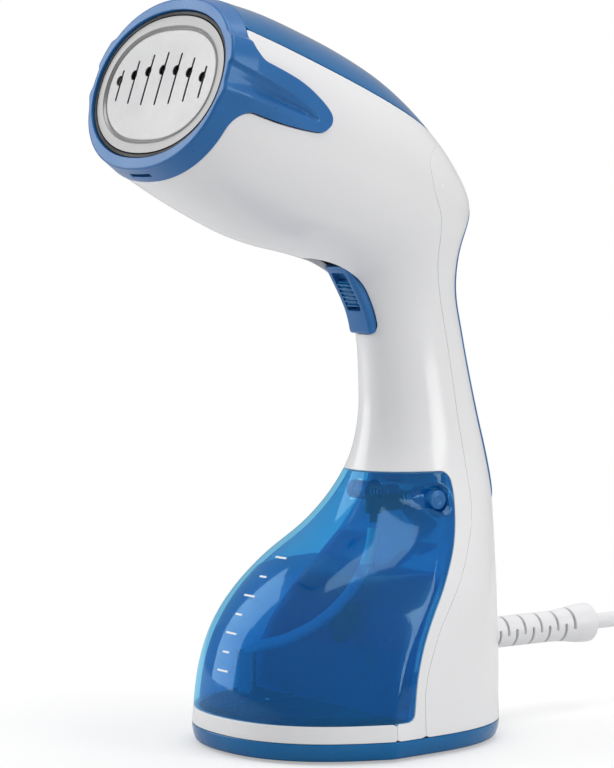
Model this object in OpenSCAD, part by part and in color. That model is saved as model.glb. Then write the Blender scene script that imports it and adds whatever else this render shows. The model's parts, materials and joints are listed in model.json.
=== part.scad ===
// Handheld garment steamer: a wide oval steam head on a curved handle, a detachable water
// tank and a flared base. Origin on the floor under the middle of the base, +Z up,
// the nozzle faces -Y and the object's left side is +X. Millimetres.

/* [Body] */
// Length of the base, front to rear
base_len = 128; // [124:0.5:132]
// Width of the base
base_w = 112; // [108:0.5:116]
// Width of the handle at its narrowest
handle_w = 35.6; // [34.6:0.2:38]
// Width of the steam head at the nozzle
head_w = 95; // [94:0.5:98]
// Wall thickness of the housing shells
wall = 2.4; // [2.2:0.1:2.6]
// Gap between neighbouring shells
gap = 0.3; // [0.2:0.05:0.4]

/* [Nozzle] */
// How far the nozzle axis points upwards, in degrees
tilt = 18.9; // [18.4:0.1:19.4]
// Depth of the nozzle ring
ring_depth = 12; // [11:0.5:13]
// Width of the steam plate
plate_w = 85; // [83:0.5:86]
// Height of the steam plate
plate_h = 57; // [55:0.5:58]
// Number of steam slots
slot_count = 7; // [5:2:9]
// Distance between steam slots
slot_pitch = 9.8; // [9:0.1:10]
// Diameter of the steam holes
hole_d = 4; // [3:0.1:4.4]

/* [Tank] */
// Height of the tank's top edge above the floor
tank_top = 111.5; // [110:0.5:112]
// Wall thickness of the tank
tank_wall = 2.2; // [2:0.1:2.5]
// Number of level ticks on the tank
tick_count = 7; // [5:1:9]
// Outside radius of the suction tube
tube_r = 2.4; // [2:0.1:2.6]

/* [Controls] */
// Width of the trigger
trigger_w = 15; // [14:0.5:15.5]
// Radius of the tank release buttons
button_r = 4; // [3.6:0.1:4.2]

/* [Cord] */
// Radius of the power cord
cord_r = 3.4; // [3:0.1:3.6]
// Length of the ribbed cord guard outside the housing
guard_len = 64; // [56:1:66]
// Length of cord modelled beyond the guard
cord_stub = 34; // [20:1:60]

/* [Hidden] */

WHITE = [0.93, 0.93, 0.94];
BLUE = [0.15, 0.38, 0.68];
DEEP_BLUE = [0.05, 0.32, 0.62];
STEEL = [0.78, 0.79, 0.8];
BLACK = [0.08, 0.08, 0.09];
SILICONE = [0.85, 0.85, 0.82];

pad_h = 1;
base_h = 8.5;
band_top = 15.5;
section_points = 28;
eps = 0.1;

// Stations of the body, from the floor to the nozzle. Each is a section across the side
// view: front (or lower) point y,z; rear (or upper) point y,z; half width; where along that
// chord the widest point lies; exponent of the superellipse.
stations = [
    [-base_len / 2 + 2, pad_h, base_len / 2, pad_h, base_w / 2 - 1.5, 0.5, 2.35],
    [-base_len / 2 + 1, 4, base_len / 2 + 1, 4, base_w / 2, 0.5, 2.35],
    [-base_len / 2 + 1, band_top, base_len / 2 + 1.5, band_top, base_w / 2, 0.5, 2.3],
    [-61, 35, 67, 35, 54, 0.5, 2.25],
    [-56.5, 50, 68, 49, 50.5, 0.51, 2.2],
    [-47.5, 64, 69, 63, 46, 0.53, 2.15],
    [-33.5, 77, 70, 76, 40.5, 0.53, 2.1],
    [-14.5, 89, 70.5, 89, 34.5, 0.52, 2.1],
    [-2, 101, 71, 101, 29, 0.5, 2.1],
    [7, 115, 69.5, 113, 24, 0.5, 2.1],
    [11, 131, 66, 128, handle_w / 2 + 2.7, 0.5, 2.1],
    [11, 149, 61.5, 147, handle_w / 2 + 0.7, 0.5, 2.1],
    [9.5, 167, 57, 167, handle_w / 2, 0.5, 2.1],
    [6, 180, 53, 187, handle_w / 2 + 1, 0.5, 2.1],
    [0, 190, 54.5, 205, 23, 0.48, 2.1],
    [-10, 196, 59.5, 220, 28, 0.45, 2.1],
    [-19, 199, 49, 238, 33.5, 0.45, 2.1],
    [-29, 201.5, 30, 257, 38, 0.47, 2.1],
    [-41, 204, 9, 272.5, 41.5, 0.48, 2.1],
    [-54, 208, -13, 283.5, 44, 0.5, 2.12],
    [-68, 214.5, -35, 292, 46, 0.5, 2.15],
    [-82, 222, -55, 298.5, head_w / 2 - 0.5, 0.5, 2.2],
    [-93, 228.5, -68, 301.5, head_w / 2, 0.5, 2.2]
];
last = len(stations) - 1;

// Middle of the ring's rear plane
nozzle_y = -80.5;
nozzle_z = 265;

// Soft corner down each side of the base, where the trim band ends
crease_y = -16;

// Side-view outlines, as y,z points
// Line where the tank meets the housing
tank_line = [[-6.8, band_top], [-3.5, 33], [2, 46], [8.4, 56], [17.8, 68], [27.5, 82],
             [33, 95], [35, 104], [35, tank_top]];
// Line where the front and rear shells meet
seam_line = [[-1, base_h], [0.5, 30], [9.5, 48], [32, 75], [43, 95], [45, 112], [44, 135],
             [40, 165], [36, 182], [31, 198], [27, 216], [20, 230], [22, 242], [36, 249]];
// Lower edge of the top cover, a straight cut
cover_front = [-95, 296];
cover_rear = [60, 240.1];

function sgn_pow(v, p) = sign(v) * pow(abs(v), p);
function oval(a, b, e = 2.15, n = 64) =
    [for (k = [0 : n - 1]) let (w = 360 * k / n)
        [a * sgn_pow(cos(w), 2 / e), b * sgn_pow(sin(w), 2 / e)]];
function chord(s) = norm([s[2] - s[0], s[3] - s[1]]);
function shifted(pts, dy) = [for (p = pts) [p[0] + dy, p[1]]];
function reversed(pts) = [for (k = [len(pts) - 1 : -1 : 0]) pts[k]];

// One thin slice of the body, inset from its outside
module slice(s, inset) {
    front = chord(s) * s[5] - inset;
    rear = chord(s) * (1 - s[5]) - inset;
    pts = [for (p = oval(s[4] - inset, 1, s[6], section_points))
           [p[0], p[1] * (p[1] > 0 ? rear : front)]];
    translate([0, s[0] + (s[2] - s[0]) * s[5], s[1] + (s[3] - s[1]) * s[5]])
        rotate([atan2(s[3] - s[1], s[2] - s[0]), 0, 0])
        translate([0, 0, -eps / 2])
        linear_extrude(eps)
        polygon(pts);
}

// The body's freeform volume between two stations, inset from its outside
module loft(inset = 0, from = 0, to = last) {
    for (k = [from : to - 1]) hull() {
        slice(stations[k], inset);
        slice(stations[k + 1], inset);
    }
}

// A side-view outline carried across the whole width
module side(pts, half_w = 80) {
    rotate([90, 0, 90])
        translate([0, 0, -half_w])
        linear_extrude(2 * half_w)
        polygon(pts);
}

module at_nozzle() {
    translate([0, nozzle_y, nozzle_z])
        rotate([90 - tilt, 0, 0])
        children();
}

module rod(r, h) {
    cylinder(r = r, h = h, $fn = 48);
}

module ring(r_out, r_in, h) {
    difference() {
        rod(r_out, h);
        translate([0, 0, -1]) rod(r_in, h + 2);
    }
}

// A coil spring that stands on its lower end
module coil(r, wire, h, turns) {
    steps = 7 * turns;
    bent_rod([for (k = [0 : steps]) let (w = 360 * k / 7)
              [r * cos(w), r * sin(w), wire + (h - 2 * wire) * k / steps]], wire, 5);
}

// Things along +Y
module along_y(pos) {
    translate(pos) rotate([-90, 0, 0]) children();
}

module bent_rod(pts, r, n = 8) {
    for (k = [0 : len(pts) - 2]) hull() {
        translate(pts[k]) sphere(r = r, $fn = n);
        translate(pts[k + 1]) sphere(r = r, $fn = n);
    }
}

// ---- Regions ----
module behind_seam(shift) {
    side(concat(shifted(seam_line, shift), [[90, 249], [90, base_h]]));
}

module tank_region(shift, top, bottom) {
    side(concat([[-90, bottom]], [[tank_line[0][0] + shift, bottom]],
                [for (p = shifted(tank_line, shift)) if (p[1] > bottom && p[1] < top) p],
                [[tank_line[len(tank_line) - 1][0] + shift, top], [-90, top]]));
}

module above_cover_line(drop) {
    side([[cover_front[0], cover_front[1] - drop], [cover_rear[0], cover_rear[1] - drop],
          [60, 330], [-95, 330]]);
}

// Outline of the side wings in the nozzle frame, v up and n forwards
module wing_region(grow) {
    at_nozzle()
        rotate([0, 90, 0])
        translate([0, 0, -80])
        linear_extrude(160)
        offset(delta = grow)
        polygon([[-1 - grow, -7.5], [20.5, -6.6], [37, -3.8], [41.2, -0.6], [42.3, 2.5], [40.6, 5.6],
                 [34, 9], [22.5, 12.2], [5, 13.4], [-1 - grow, 13.6]]);
}

// Clears the mouth of the housing, where the heater passes
module nozzle_mouth() {
    at_nozzle() translate([0, 0, -14]) linear_extrude(20) polygon(oval(head_w / 2 - wall, 36.2, 2.2));
}

module trigger_opening(half_w) {
    side([[-6, 199], [9, 199], [19, 192], [19, 167.6], [-6, 167.6]], half_w);
}

// ---- Base ----
base_screws = [[38, -26], [-38, -26], [41.5, 34], [-41.5, 34]];

module base_outline(inset, e = 2.35) {
    polygon(oval(base_w / 2 - inset, base_len / 2 - inset, e));
}

// The tray under the object, with a low round rest in its middle that is level with the pads
module base_plate() {
    color(DEEP_BLUE) difference() {
        union() {
            hull() {
                slice(stations[0], 1);
                slice(stations[1], 0);
            }
            translate([0, 1, 4]) linear_extrude(base_h - 4 - 0.1) base_outline(0);
            rod(9, 2);
        }
        translate([0, 1, 3.6]) linear_extrude(10) base_outline(wall);
        for (p = base_screws) {
            translate([p[0], p[1], -1]) rod(1.7, 12);
            translate([p[0], p[1], -1]) rod(3.3, 3.2);
        }
        for (x = [-1, 1], y = [-1, 1]) translate([x * 26, y * 42, 0]) rod(6.1, 2.1);
    }
}

module foot_pads() {
    color(BLACK) for (x = [-1, 1], y = [-1, 1]) translate([x * 26, y * 42, 0]) {
        translate([0, 0, 0.6]) rod(6, 1.4);
        cylinder(r1 = 5.4, r2 = 6, h = 0.6, $fn = 48);
    }
}

module trim_band() {
    front_half = [[-90, 0], [crease_y - gap, 0], [crease_y - gap, 40], [-90, 40]];
    color(WHITE) difference() {
        union() {
            intersection() {
                translate([0, 1, base_h]) linear_extrude(band_top - base_h - 0.1) base_outline(0, 2.33);
                side(front_half);
            }
            for (x = [-1, 1]) translate([x * 38, -26, base_h]) rod(4, 6);
        }
        difference() {
            translate([0, 1, 0]) linear_extrude(14) base_outline(wall, 2.33);
            for (x = [-1, 1]) translate([x * 38, -26, -1]) rod(4, 20);
        }
        for (x = [-1, 1]) translate([x * 38, -26, 0]) rod(1.55, 13);
    }
}

// ---- Housing ----
grip_half_w = 15;

module front_shell() {
    color(WHITE) union() difference() {
        union() {
            difference() {
                loft(0, 1, last);
                loft(wall, 1, last);
            }
            intersection() {
                for (x = [-11.8, 8.2]) translate([x, 1, 187]) cube([3.6, 13, 9.5]);
                loft(1, 12, 17);
            }
        }
        translate([-12.2, trigger_pivot[0], trigger_pivot[1]]) rotate([0, 90, 0])
            rod(trigger_pin_r + 0.08, 24.4);
        nozzle_mouth();
        at_nozzle() translate([-60, -60, -gap]) cube([120, 120, 20]);
        behind_seam(-gap / 2);
        translate([-80, -90, base_h - 20]) cube([160, 200, 20]);
        tank_region(0, tank_top + 0.2, band_top);
        side([[-90, -10], [crease_y, -10], [crease_y, band_top + 0.1], [-90, band_top + 0.1]]);
        above_cover_line(gap / 2);
        wing_region(gap);
        trigger_opening(trigger_w / 2 + 0.5);
    }
}

module rear_shell() {
    color(WHITE) union() difference() {
        union() {
            difference() {
                loft(0, 1, 18);
                loft(wall, 1, 18);
            }
            for (x = [-1, 1]) translate([x * 41.5, 34, base_h]) {
                rod(4.2, 12);
                translate([x > 0 ? 0 : -7.2, -1, 0]) cube([7.2, 2, 12]);
            }
        }
        translate([-80, -90, base_h - 20]) cube([160, 200, 20]);
        difference() {
            translate([-100, -100, -10]) cube([200, 200, 400]);
            behind_seam(gap / 2);
        }
        above_cover_line(gap / 2);
        grip_region(0.25);
        for (x = [-1, 1]) translate([x * 41.5, 34, 0]) rod(1.7, 18);
        along_y([0, 50, cord_z]) rod(6, 30);
    }
}

// Long waisted panel set in the back of the handle; its points are share of half width, height
module grip_region(grow) {
    half = [for (p = [[0, 90], [0.55, 93], [0.93, 98], [1, 105], [0.9, 116], [0.76, 130], [0.68, 145],
                      [0.64, 158], [0.64, 170], [0.7, 185], [0.8, 197], [0.9, 209], [0.84, 217],
                      [0.56, 223], [0, 226]]) [grip_half_w * p[0], -p[1]]];
    intersection() {
        along_y([0, 38, 0])
            linear_extrude(60)
            offset(delta = grow)
            polygon(concat(half, [for (p = reversed(half)) [-p[0] - eps, p[1]]]));
        difference() {
            loft(-6, 7, 17);
            loft(1.2 + grow, 7, 17);
        }
    }
}

module rear_grip() {
    color(BLUE) union() intersection() {
        grip_region(0);
        loft(-0.6, 7, 17);
    }
}

module top_cover() {
    color(DEEP_BLUE) union() difference() {
        intersection() {
            loft(0, 15, last);
            above_cover_line(-gap / 2);
        }
        loft(wall, 15, last);
        at_nozzle() translate([-60, -60, -gap]) cube([120, 120, 20]);
        nozzle_mouth();
        wing_region(gap);
    }
}

// ---- Nozzle ----
module nozzle_ring() {
    front_a = head_w / 2 - 1.5;
    front_b = plate_h / 2 + 7;
    color(BLUE) union() difference() {
        union() {
            at_nozzle() hull() {
                linear_extrude(1) polygon(oval(head_w / 2 + 0.3, 38.6, 2.2, 48));
                translate([0, 0, ring_depth - 1]) linear_extrude(1)
                    polygon(oval(front_a, front_b, 2.2, 48));
            }
            difference() {
                intersection() {
                    loft(-0.8, 18, last);
                    wing_region(0);
                }
                loft(wall, 18, last);
            }
        }
        at_nozzle() translate([0, 0, -2]) linear_extrude(30)
            polygon(oval(plate_w / 2 + 2.2, plate_h / 2 + 2.2, 2.15, 48));
        at_nozzle() translate([0, 0, -14]) linear_extrude(14 + 6)
            polygon(oval(head_w / 2 - wall - 0.6, 33.5, 2.2, 48));
        at_nozzle() translate([-7, -40, ring_depth - 5.5]) cube([14, 6, 2]);
        for (x = [-1, 1]) at_nozzle() translate([x * (head_w / 2 + 4.2), 3, -34])
            cylinder(r1 = 1, r2 = 7.5, h = 36, $fn = 24);
    }
}

module plate_seal() {
    color(BLACK) at_nozzle() translate([0, 0, 6.2]) linear_extrude(4.6) difference() {
        polygon(oval(plate_w / 2 + 2, plate_h / 2 + 2, 2.15));
        polygon(oval(plate_w / 2 + 0.3, plate_h / 2 + 0.3, 2.15));
    }
}

function slot_len(k) = 22 - 9 * pow(abs(k) / ((slot_count - 1) / 2), 2);
function slot_v(k) = 2.5 - 2.2 * pow(abs(k) / ((slot_count - 1) / 2), 2);

module steam_plate() {
    reach = (slot_count - 1) / 2;
    color(STEEL) at_nozzle() difference() {
        union() {
            translate([0, 0, 9.4]) linear_extrude(1.2) polygon(oval(plate_w / 2, plate_h / 2));
            translate([0, 0, 6.4]) linear_extrude(4.6) difference() {
                polygon(oval(plate_w / 2, plate_h / 2));
                polygon(oval(plate_w / 2 - 4, plate_h / 2 - 4));
            }
        }
        for (k = [-reach : reach]) {
            translate([k * slot_pitch - 0.45, slot_v(k) - slot_len(k) / 2, 8]) cube([0.9, slot_len(k), 5]);
            translate([k * slot_pitch - 1.2, slot_v(k) + slot_len(k) / 6, 8]) rod(hole_d / 2, 5);
        }
    }
}

// ---- Heater ----
heater_rear = -20;
heater_inlet_v = -14;
heater_bolts = [[28, 12], [-28, 12], [28, -12], [-28, -12]];

module heater_block() {
    color(STEEL) at_nozzle() difference() {
        union() {
            translate([0, 0, heater_rear]) linear_extrude(9.3 - heater_rear)
                polygon(oval(35.5, 22.5, 2.6, 48));
            translate([0, heater_inlet_v, heater_rear - 9]) rod(2.6, 10);
        }
        translate([0, 0, -4]) linear_extrude(20) polygon(oval(32, 19, 2.6, 48));
        translate([0, 0, heater_rear]) element_path(3.3);
        translate([0, heater_inlet_v, heater_rear - 10]) rod(1.3, 20);
        for (p = heater_bolts) translate([p[0], p[1], heater_rear - 1]) rod(1.55, 12);
    }
}

module heater_cover() {
    color(STEEL) at_nozzle() difference() {
        translate([0, 0, heater_rear - 1.3]) linear_extrude(1.2) polygon(oval(35.5, 22.5, 2.6, 48));
        translate([0, 0, heater_rear - 3]) linear_extrude(4) polygon(oval(25.5, 18, 2.6, 48));
        for (p = heater_bolts) translate([p[0], p[1], heater_rear - 4]) rod(1.8, 8);
    }
}

// U-shaped path that lies in the rear face of the heater block
module element_path(r) {
    for (v = [-1, 1]) translate([-14, v * 7, 0]) rotate([0, 90, 0]) rod(r, 24);
    translate([10, 0, 0]) rotate([0, 0, -90]) rotate_extrude(angle = 180, $fn = 64)
        translate([7, 0]) circle(r = r, $fn = 32);
}

module heating_element() {
    color([0.45, 0.42, 0.4]) at_nozzle() translate([0, 0, heater_rear]) element_path(3.2);
}

module heater_screws() {
    color(STEEL) at_nozzle() for (p = heater_bolts) translate([p[0], p[1], heater_rear - 3.4]) {
        rod(2.9, 2);
        rod(1.5, 12);
    }
}

module thermostat() {
    color([0.6, 0.6, 0.62]) at_nozzle() translate([-20.5, 0, heater_rear - 6]) {
        rod(3.9, 5.9);
        for (v = [-1, 1]) translate([-0.4, v * 2 - 1, -5]) cube([0.8, 2, 6]);
    }
}

module thermal_fuse() {
    color([0.75, 0.7, 0.6]) at_nozzle() translate([22.9, 0, heater_rear - 2.4]) rotate([90, 0, 0])
        translate([0, 0, -7]) {
            rod(2, 14);
            translate([0, 0, -6]) rod(0.5, 26);
        }
}

// ---- Pump ----
pump_y = 42;
pump_z = 124;
pump_bore = 2.6;

module pump_body() {
    color([0.2, 0.2, 0.22]) translate([0, pump_y, pump_z]) difference() {
        union() {
            rod(5, 42);
            translate([0, 0, -8]) rod(2.6, 9);
            translate([0, 0, 41]) rod(2.6, 8);
        }
        translate([0, 0, 6]) rod(pump_bore, 30);
        translate([0, 0, -9]) rod(1.2, 60);
    }
}

module pump_coil() {
    color([0.75, 0.35, 0.15]) translate([0, pump_y, pump_z + 10]) union() {
        ring(10, 5.1, 2);
        ring(8.5, 5.1, 22);
        translate([0, 0, 20]) ring(10, 5.1, 2);
    }
}

module pump_yoke() {
    color(STEEL) translate([0, pump_y, pump_z + 7]) difference() {
        translate([-11.2, -7.5, 0]) cube([22.4, 15, 28]);
        translate([-20, -10, 2.8]) cube([30.3, 20, 22.4]);
        translate([0, 0, -1]) rod(5.2, 40);
    }
}

module pump_piston() {
    color(STEEL) translate([0, pump_y, pump_z + 10]) ring(pump_bore - 0.06, 1.2, 16);
}

module pump_spring() {
    color(STEEL) translate([0, pump_y, pump_z + 26.2]) coil(1.9, 0.35, 9.4, 5);
}

module inlet_hose() {
    color(SILICONE) translate([0, pump_y, 106]) ring(4, 2.7, 17);
}

// Hose in the YZ plane: up the handle, round one bend and forward to the heater
module outlet_hose() {
    bend = 30;
    bend_y = pump_y - bend * (1 - sin(tilt));
    bend_z = nozzle_z + (heater_inlet_v - (bend_y - nozzle_y) * sin(tilt)) / cos(tilt);
    bottom = pump_z + 43;
    rise = bend_z - bend * cos(tilt) - bottom;
    color(SILICONE) union() difference() {
        hose_path(4.2, bend, bottom, rise, 12);
        hose_path(2.95, bend, bottom, rise, 12);
        translate([-10, pump_y - 10, bottom - 20]) cube([20, 20, 20]);
        at_nozzle() translate([-10, heater_inlet_v - 10, heater_rear - 1.5]) cube([20, 20, 20]);
    }
}

module hose_path(r, bend, bottom, rise, sides) {
    end_y = pump_y - bend * (1 - sin(tilt));
    end_z = bottom + rise + bend * cos(tilt);
    reach = heater_rear - ((nozzle_y - end_y) * cos(tilt) + (end_z - nozzle_z) * sin(tilt));
    arc = [for (w = [0 : (90 - tilt) / 7 : 90 - tilt + 0.1])
        [0, pump_y - bend * (1 - cos(w)), bottom + rise + bend * sin(w)]];
    tip = [0, end_y - reach * cos(tilt), end_z + reach * sin(tilt)];
    bent_rod(concat([[0, pump_y, bottom]], arc, [tip]), r, sides);
}

// ---- Electrics ----
module control_board() {
    color([0.1, 0.45, 0.2]) translate([0, -2, 252]) rotate([-tilt, 0, 0]) union() {
        translate([-22, -24, 0]) cube([44, 48, 1.6]);
        translate([-16, -18, 1.6]) cube([15, 12, 8]);
        translate([10, -10, 1.5]) rod(5, 9);
        translate([4, 8, 1.6]) cube([14, 9, 6]);
        translate([-16, 6, 1.6]) cube([12, 5, 5]);
    }
}

module wire_harness() {
    color([0.7, 0.15, 0.12]) union() for (x = [-1, 1]) {
        bent_rod([[x * 5, 50.5, cord_z - 2], [x * 13, 47, 60], [x * 13.8, 40.5, 112], [x * 13.8, 38, 150],
                  [x * 13.7, 34, 170], [x * 14, 30, 195], [x * 15, 18, 215], [x * 15, 8, 244]], 1.2);
        bent_rod([[x * 15, -22, 254], [x * 16, -34, 262], [x * 17, -50, 264], [x * 17.5, -54, 262]], 1);
    }
}

module microswitch() {
    color([0.12, 0.12, 0.13]) difference() {
        union() {
            translate([-3.2, 17.6, 168]) cube([6.4, 6.5, 13]);
            translate([-1.2, 14.8, 171]) cube([2.4, 3, 2.2]);
            for (z = [170, 174, 178]) translate([-0.25, 24, z]) cube([0.5, 3, 1.6]);
        }
        for (z = [170.2, 178.8]) translate([-5, 20.8, z]) rotate([0, 90, 0]) rod(0.9, 10);
    }
}

// ---- Trigger ----
trigger_pivot = [9, 191.5];
trigger_pin_r = 1.5;

module trigger() {
    face = [[-4.8, 195.8], [-1.4, 189.5], [3.4, 181], [6.4, 174], [7.8, 168.2]];
    color(BLUE) difference() {
        union() {
            side(concat(face, [[11.4, 168.4], [12.2, 182], [12.6, 191.5], [11.5, 194.4], [8, 195.2]]),
                 trigger_w / 2);
            translate([-trigger_w / 2, trigger_pivot[0], trigger_pivot[1]])
                rotate([0, 90, 0]) rod(3.4, trigger_w);
        }
        translate([-20, trigger_pivot[0], trigger_pivot[1]]) rotate([0, 90, 0])
            rod(trigger_pin_r + 0.06, 40);
        on_face() translate([-4.6, -9, -2.6]) cube([9.2, 18, 6]);
        along_y([0, 9, 176]) rod(2.4, 8);
    }
}

// Frame on the trigger's front face: x across, y up the face, z outwards
module on_face() {
    translate([0, 1.1, 185.2]) rotate([90 + 29.5, 0, 0]) children();
}

module trigger_lock() {
    color(DEEP_BLUE) on_face() translate([0, 0, -2.4]) union() {
        translate([-4.3, -7.5, 0]) cube([8.6, 12, 2]);
        for (k = [0 : 5]) translate([-4, -7 + 2 * k, 1.9]) cube([8, 1, 1]);
    }
}

module trigger_pin() {
    color(STEEL) translate([-11, trigger_pivot[0], trigger_pivot[1]]) rotate([0, 90, 0])
        rod(trigger_pin_r, 22);
}

module trigger_spring() {
    color(STEEL) along_y([0, 9.4, 176]) coil(1.6, 0.35, 7.8, 4);
}

// ---- Fasteners ----
module case_screws() {
    color(STEEL) for (p = base_screws) translate([p[0], p[1], 0.4]) {
        rod(3, 1.8);
        rod(1.5, p[1] < 0 ? 12 : 16);
    }
}

// ---- Cord ----
cord_z = 37;
guard_start = 68.5;

module cord_guard() {
    pitch = 4.6;
    slot_w = 1.2;
    color(WHITE) difference() {
        along_y([0, 0, cord_z]) rotate_extrude($fn = 96) difference() {
            polygon([[0, 59.5], [8.2, 59.5], [8.2, 62.6], [5.8, 62.6], [5.8, guard_start],
                     [6.7, guard_start], [6.8, guard_start + 40], [7.4, guard_start + 54],
                     [8.5, guard_start + guard_len - 4], [8.5, guard_start + guard_len],
                     [0, guard_start + guard_len]]);
            translate([0, 50]) square([cord_r + 0.05, 120]);
        }
        for (k = [0 : 10]) translate([0, guard_start + 5 + pitch * k, cord_z]) difference() {
            translate([-12, 0, k % 2 == 0 ? -1.5 : -12.5]) cube([24, slot_w, 14]);
            along_y([0, -1, 0]) rod(4.6, 4);
        }
    }
}

module power_cord() {
    tip = guard_start + guard_len + cord_stub;
    color(WHITE) union() {
        along_y([0, 52, cord_z]) rod(cord_r - 0.25, tip - 52 - cord_stub);
        along_y([0, tip - cord_stub, cord_z]) rod(cord_r, cord_stub);
        for (a = [90, 210, 330]) along_y([1.5 * cos(a), tip - 1, cord_z + 1.5 * sin(a)]) rod(0.9, 5);
    }
}

module cord_clamp() {
    color([0.2, 0.2, 0.22]) difference() {
        translate([-9, 53, cord_z - 7]) cube([18, 5, 14]);
        along_y([0, 50, cord_z]) rod(cord_r + 0.1, 12);
    }
}

// ---- Dock and tank ----
outlet_z = 97;
button_y = 26.5;
button_z = 100;
filler_z = 48;
filler_r = 8;

module tank_dock() {
    color([0.75, 0.76, 0.78]) union() difference() {
        intersection() {
            loft(wall + 0.3, 2, 10);
            side(concat(shifted(tank_line, gap), [[-5, tank_top + 0.4], [-5, tank_top + 2.6]],
                        [[37.6, tank_top + 2.6]], reversed(shifted(tank_line, gap + 2.4))));
        }
        along_y([0, 20, outlet_z]) rod(7.4, 40);
        along_y([0, -20, filler_z]) rod(filler_r + 3.4, 60);
    }
}

module tank_socket() {
    color([0.3, 0.3, 0.32]) difference() {
        union() {
            along_y([0, 35.4, outlet_z]) rod(7.1, 9.6);
            translate([0, pump_y, outlet_z]) rod(2.6, 17);
        }
        along_y([0, 34, outlet_z]) rod(3.7, 9);
        along_y([0, 36, outlet_z]) rod(5.8, 2.3);
        translate([0, pump_y, outlet_z]) rod(1.2, 20);
    }
}

module socket_seal() {
    color(BLACK) along_y([0, 37.15, outlet_z]) rotate_extrude($fn = 64)
        translate([4.6, 0]) circle(r = 1, $fn = 24);
}

// Dry pockets for the release buttons, open through the tank's side walls
module button_cups(r, inner) {
    for (s = [-1, 1]) translate([s * inner, button_y, button_z]) rotate([0, s * 90, 0]) rod(r, 40);
}

module tank_shell() {
    color([0.1, 0.35, 0.75, 0.5]) union() difference() {
        intersection() {
            loft(0, 1, 10);
            tank_region(-gap - tank_wall - 0.1, tank_top, band_top + 0.1);
        }
        difference() {
            intersection() {
                loft(tank_wall, 1, 10);
                tank_region(-gap, tank_top - tank_wall, band_top + 0.1 + tank_wall);
            }
            button_cups(button_r + 2.3, 5.2);
        }
        intersection() {
            loft(tank_wall, 1, 10);
            button_cups(button_r + 1.1, 6.8);
        }
        translate([-60, button_y, button_z]) rotate([0, 90, 0]) rod(button_r + 0.35, 120);
    }
}

module tank_back() {
    color([0.1, 0.3, 0.65, 0.6]) union() difference() {
        intersection() {
            loft(0.2, 1, 10);
            difference() {
                tank_region(-gap, tank_top, band_top + 0.1);
                tank_region(-gap - tank_wall, tank_top + 1, band_top - 1);
            }
        }
        along_y([0, 20, outlet_z]) rod(3.8, 40);
        along_y([0, -20, filler_z]) rod(filler_r + 0.2, 60);
    }
}

module tank_elbow() {
    color([0.3, 0.3, 0.32]) difference() {
        union() {
            along_y([0, 15, outlet_z]) rod(3.5, 24.8);
            translate([0, 15, outlet_z - 4]) rod(3.5, 7.5);
            translate([0, 15, outlet_z - 8]) rod(1.6, 6);
        }
        along_y([0, 15, outlet_z]) rod(1.1, 30);
        translate([0, 15, outlet_z - 9]) rod(1.1, 9);
    }
}

// Suction tube: a quarter ellipse from the elbow down towards the front of the tank
tube_reach = 60;
tube_drop = 46;
weight_y = 15 - tube_reach - 4.5;

module suction_tube() {
    top = outlet_z - 4.3;
    arc = [for (w = [0 : 7.5 : 90]) [0, 15 - tube_reach * (1 - cos(w)), top - tube_drop * sin(w)]];
    tail = [[0, weight_y + 1.2, top - tube_drop - 1.4], [0, weight_y, top - tube_drop - 4],
            [0, weight_y, 37.5]];
    color([0.35, 0.65, 0.85]) union() difference() {
        bent_rod(concat(arc, tail), tube_r, 10);
        translate([0, 15, outlet_z - 12]) rod(1.7, 20);
        translate([-5, 10, top]) cube([10, 10, 10]);
    }
}

module suction_weight() {
    color(STEEL) translate([0, weight_y, 0]) difference() {
        union() {
            translate([0, 0, 26]) rod(4.2, 15);
            translate([0, 0, 24]) rod(3.4, 2.5);
        }
        translate([0, 0, 34.5]) rod(tube_r + 0.15, 10);
        translate([0, 0, 20]) rod(1.2, 20);
    }
}

module filler_plug() {
    color([0.2, 0.22, 0.25]) along_y([0, -1.5, filler_z]) union() {
        rod(filler_r, 12);
        translate([0, 0, 12]) rod(filler_r / 2, 1.5);
    }
}

// Every third tick is a long one
function tick_w(k) = k % 3 == 0 ? 8 : 5;

module level_marks() {
    color(WHITE) union() difference() {
        intersection() {
            loft(-0.3, 1, 10);
            for (k = [0 : tick_count - 1])
                translate([-tick_w(k) / 2, -80, 34 + 7.2 * k]) cube([tick_w(k), 80, 0.8]);
        }
        loft(-0.03, 1, 10);
    }
}

// ---- Tank release ----
module release_button(s) {
    translate([s * 15, button_y, button_z]) rotate([0, s * 90, 0]) {
        rod(button_r + 0.8, 2);
        rod(button_r, 14.3);
    }
}

module release_button_left() {
    color(BLUE) release_button(1);
}

module release_button_right() {
    color(BLUE) release_button(-1);
}

module button_springs() {
    color(STEEL) for (s = [-1, 1]) translate([s * 7, button_y, button_z]) rotate([0, s * 90, 0])
        coil(2.6, 0.4, 7.9, 3);
}

base_plate();
foot_pads();
trim_band();
front_shell();
rear_shell();
rear_grip();
top_cover();
nozzle_ring();
plate_seal();
steam_plate();
heater_block();
heater_cover();
heating_element();
heater_screws();
thermostat();
thermal_fuse();
pump_body();
pump_coil();
pump_yoke();
pump_piston();
pump_spring();
inlet_hose();
outlet_hose();
control_board();
wire_harness();
microswitch();
trigger();
trigger_pin();
trigger_spring();
trigger_lock();
case_screws();
cord_guard();
power_cord();
cord_clamp();
tank_dock();
tank_socket();
socket_seal();
tank_shell();
tank_back();
tank_elbow();
suction_tube();
suction_weight();
filler_plug();
level_marks();
release_button_left();
release_button_right();
button_springs();
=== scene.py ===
"""Looks for the handheld garment steamer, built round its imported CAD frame.

Lengths in this script are millimetres in the frame's axes (+Z up, the nozzle faces -Y) and
are scaled to metres when a mesh is made. The body is one smooth surface through the same
stations as the CAD loft; each visible shell is cut out of it by a signed distance.
"""
import json
import math

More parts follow.
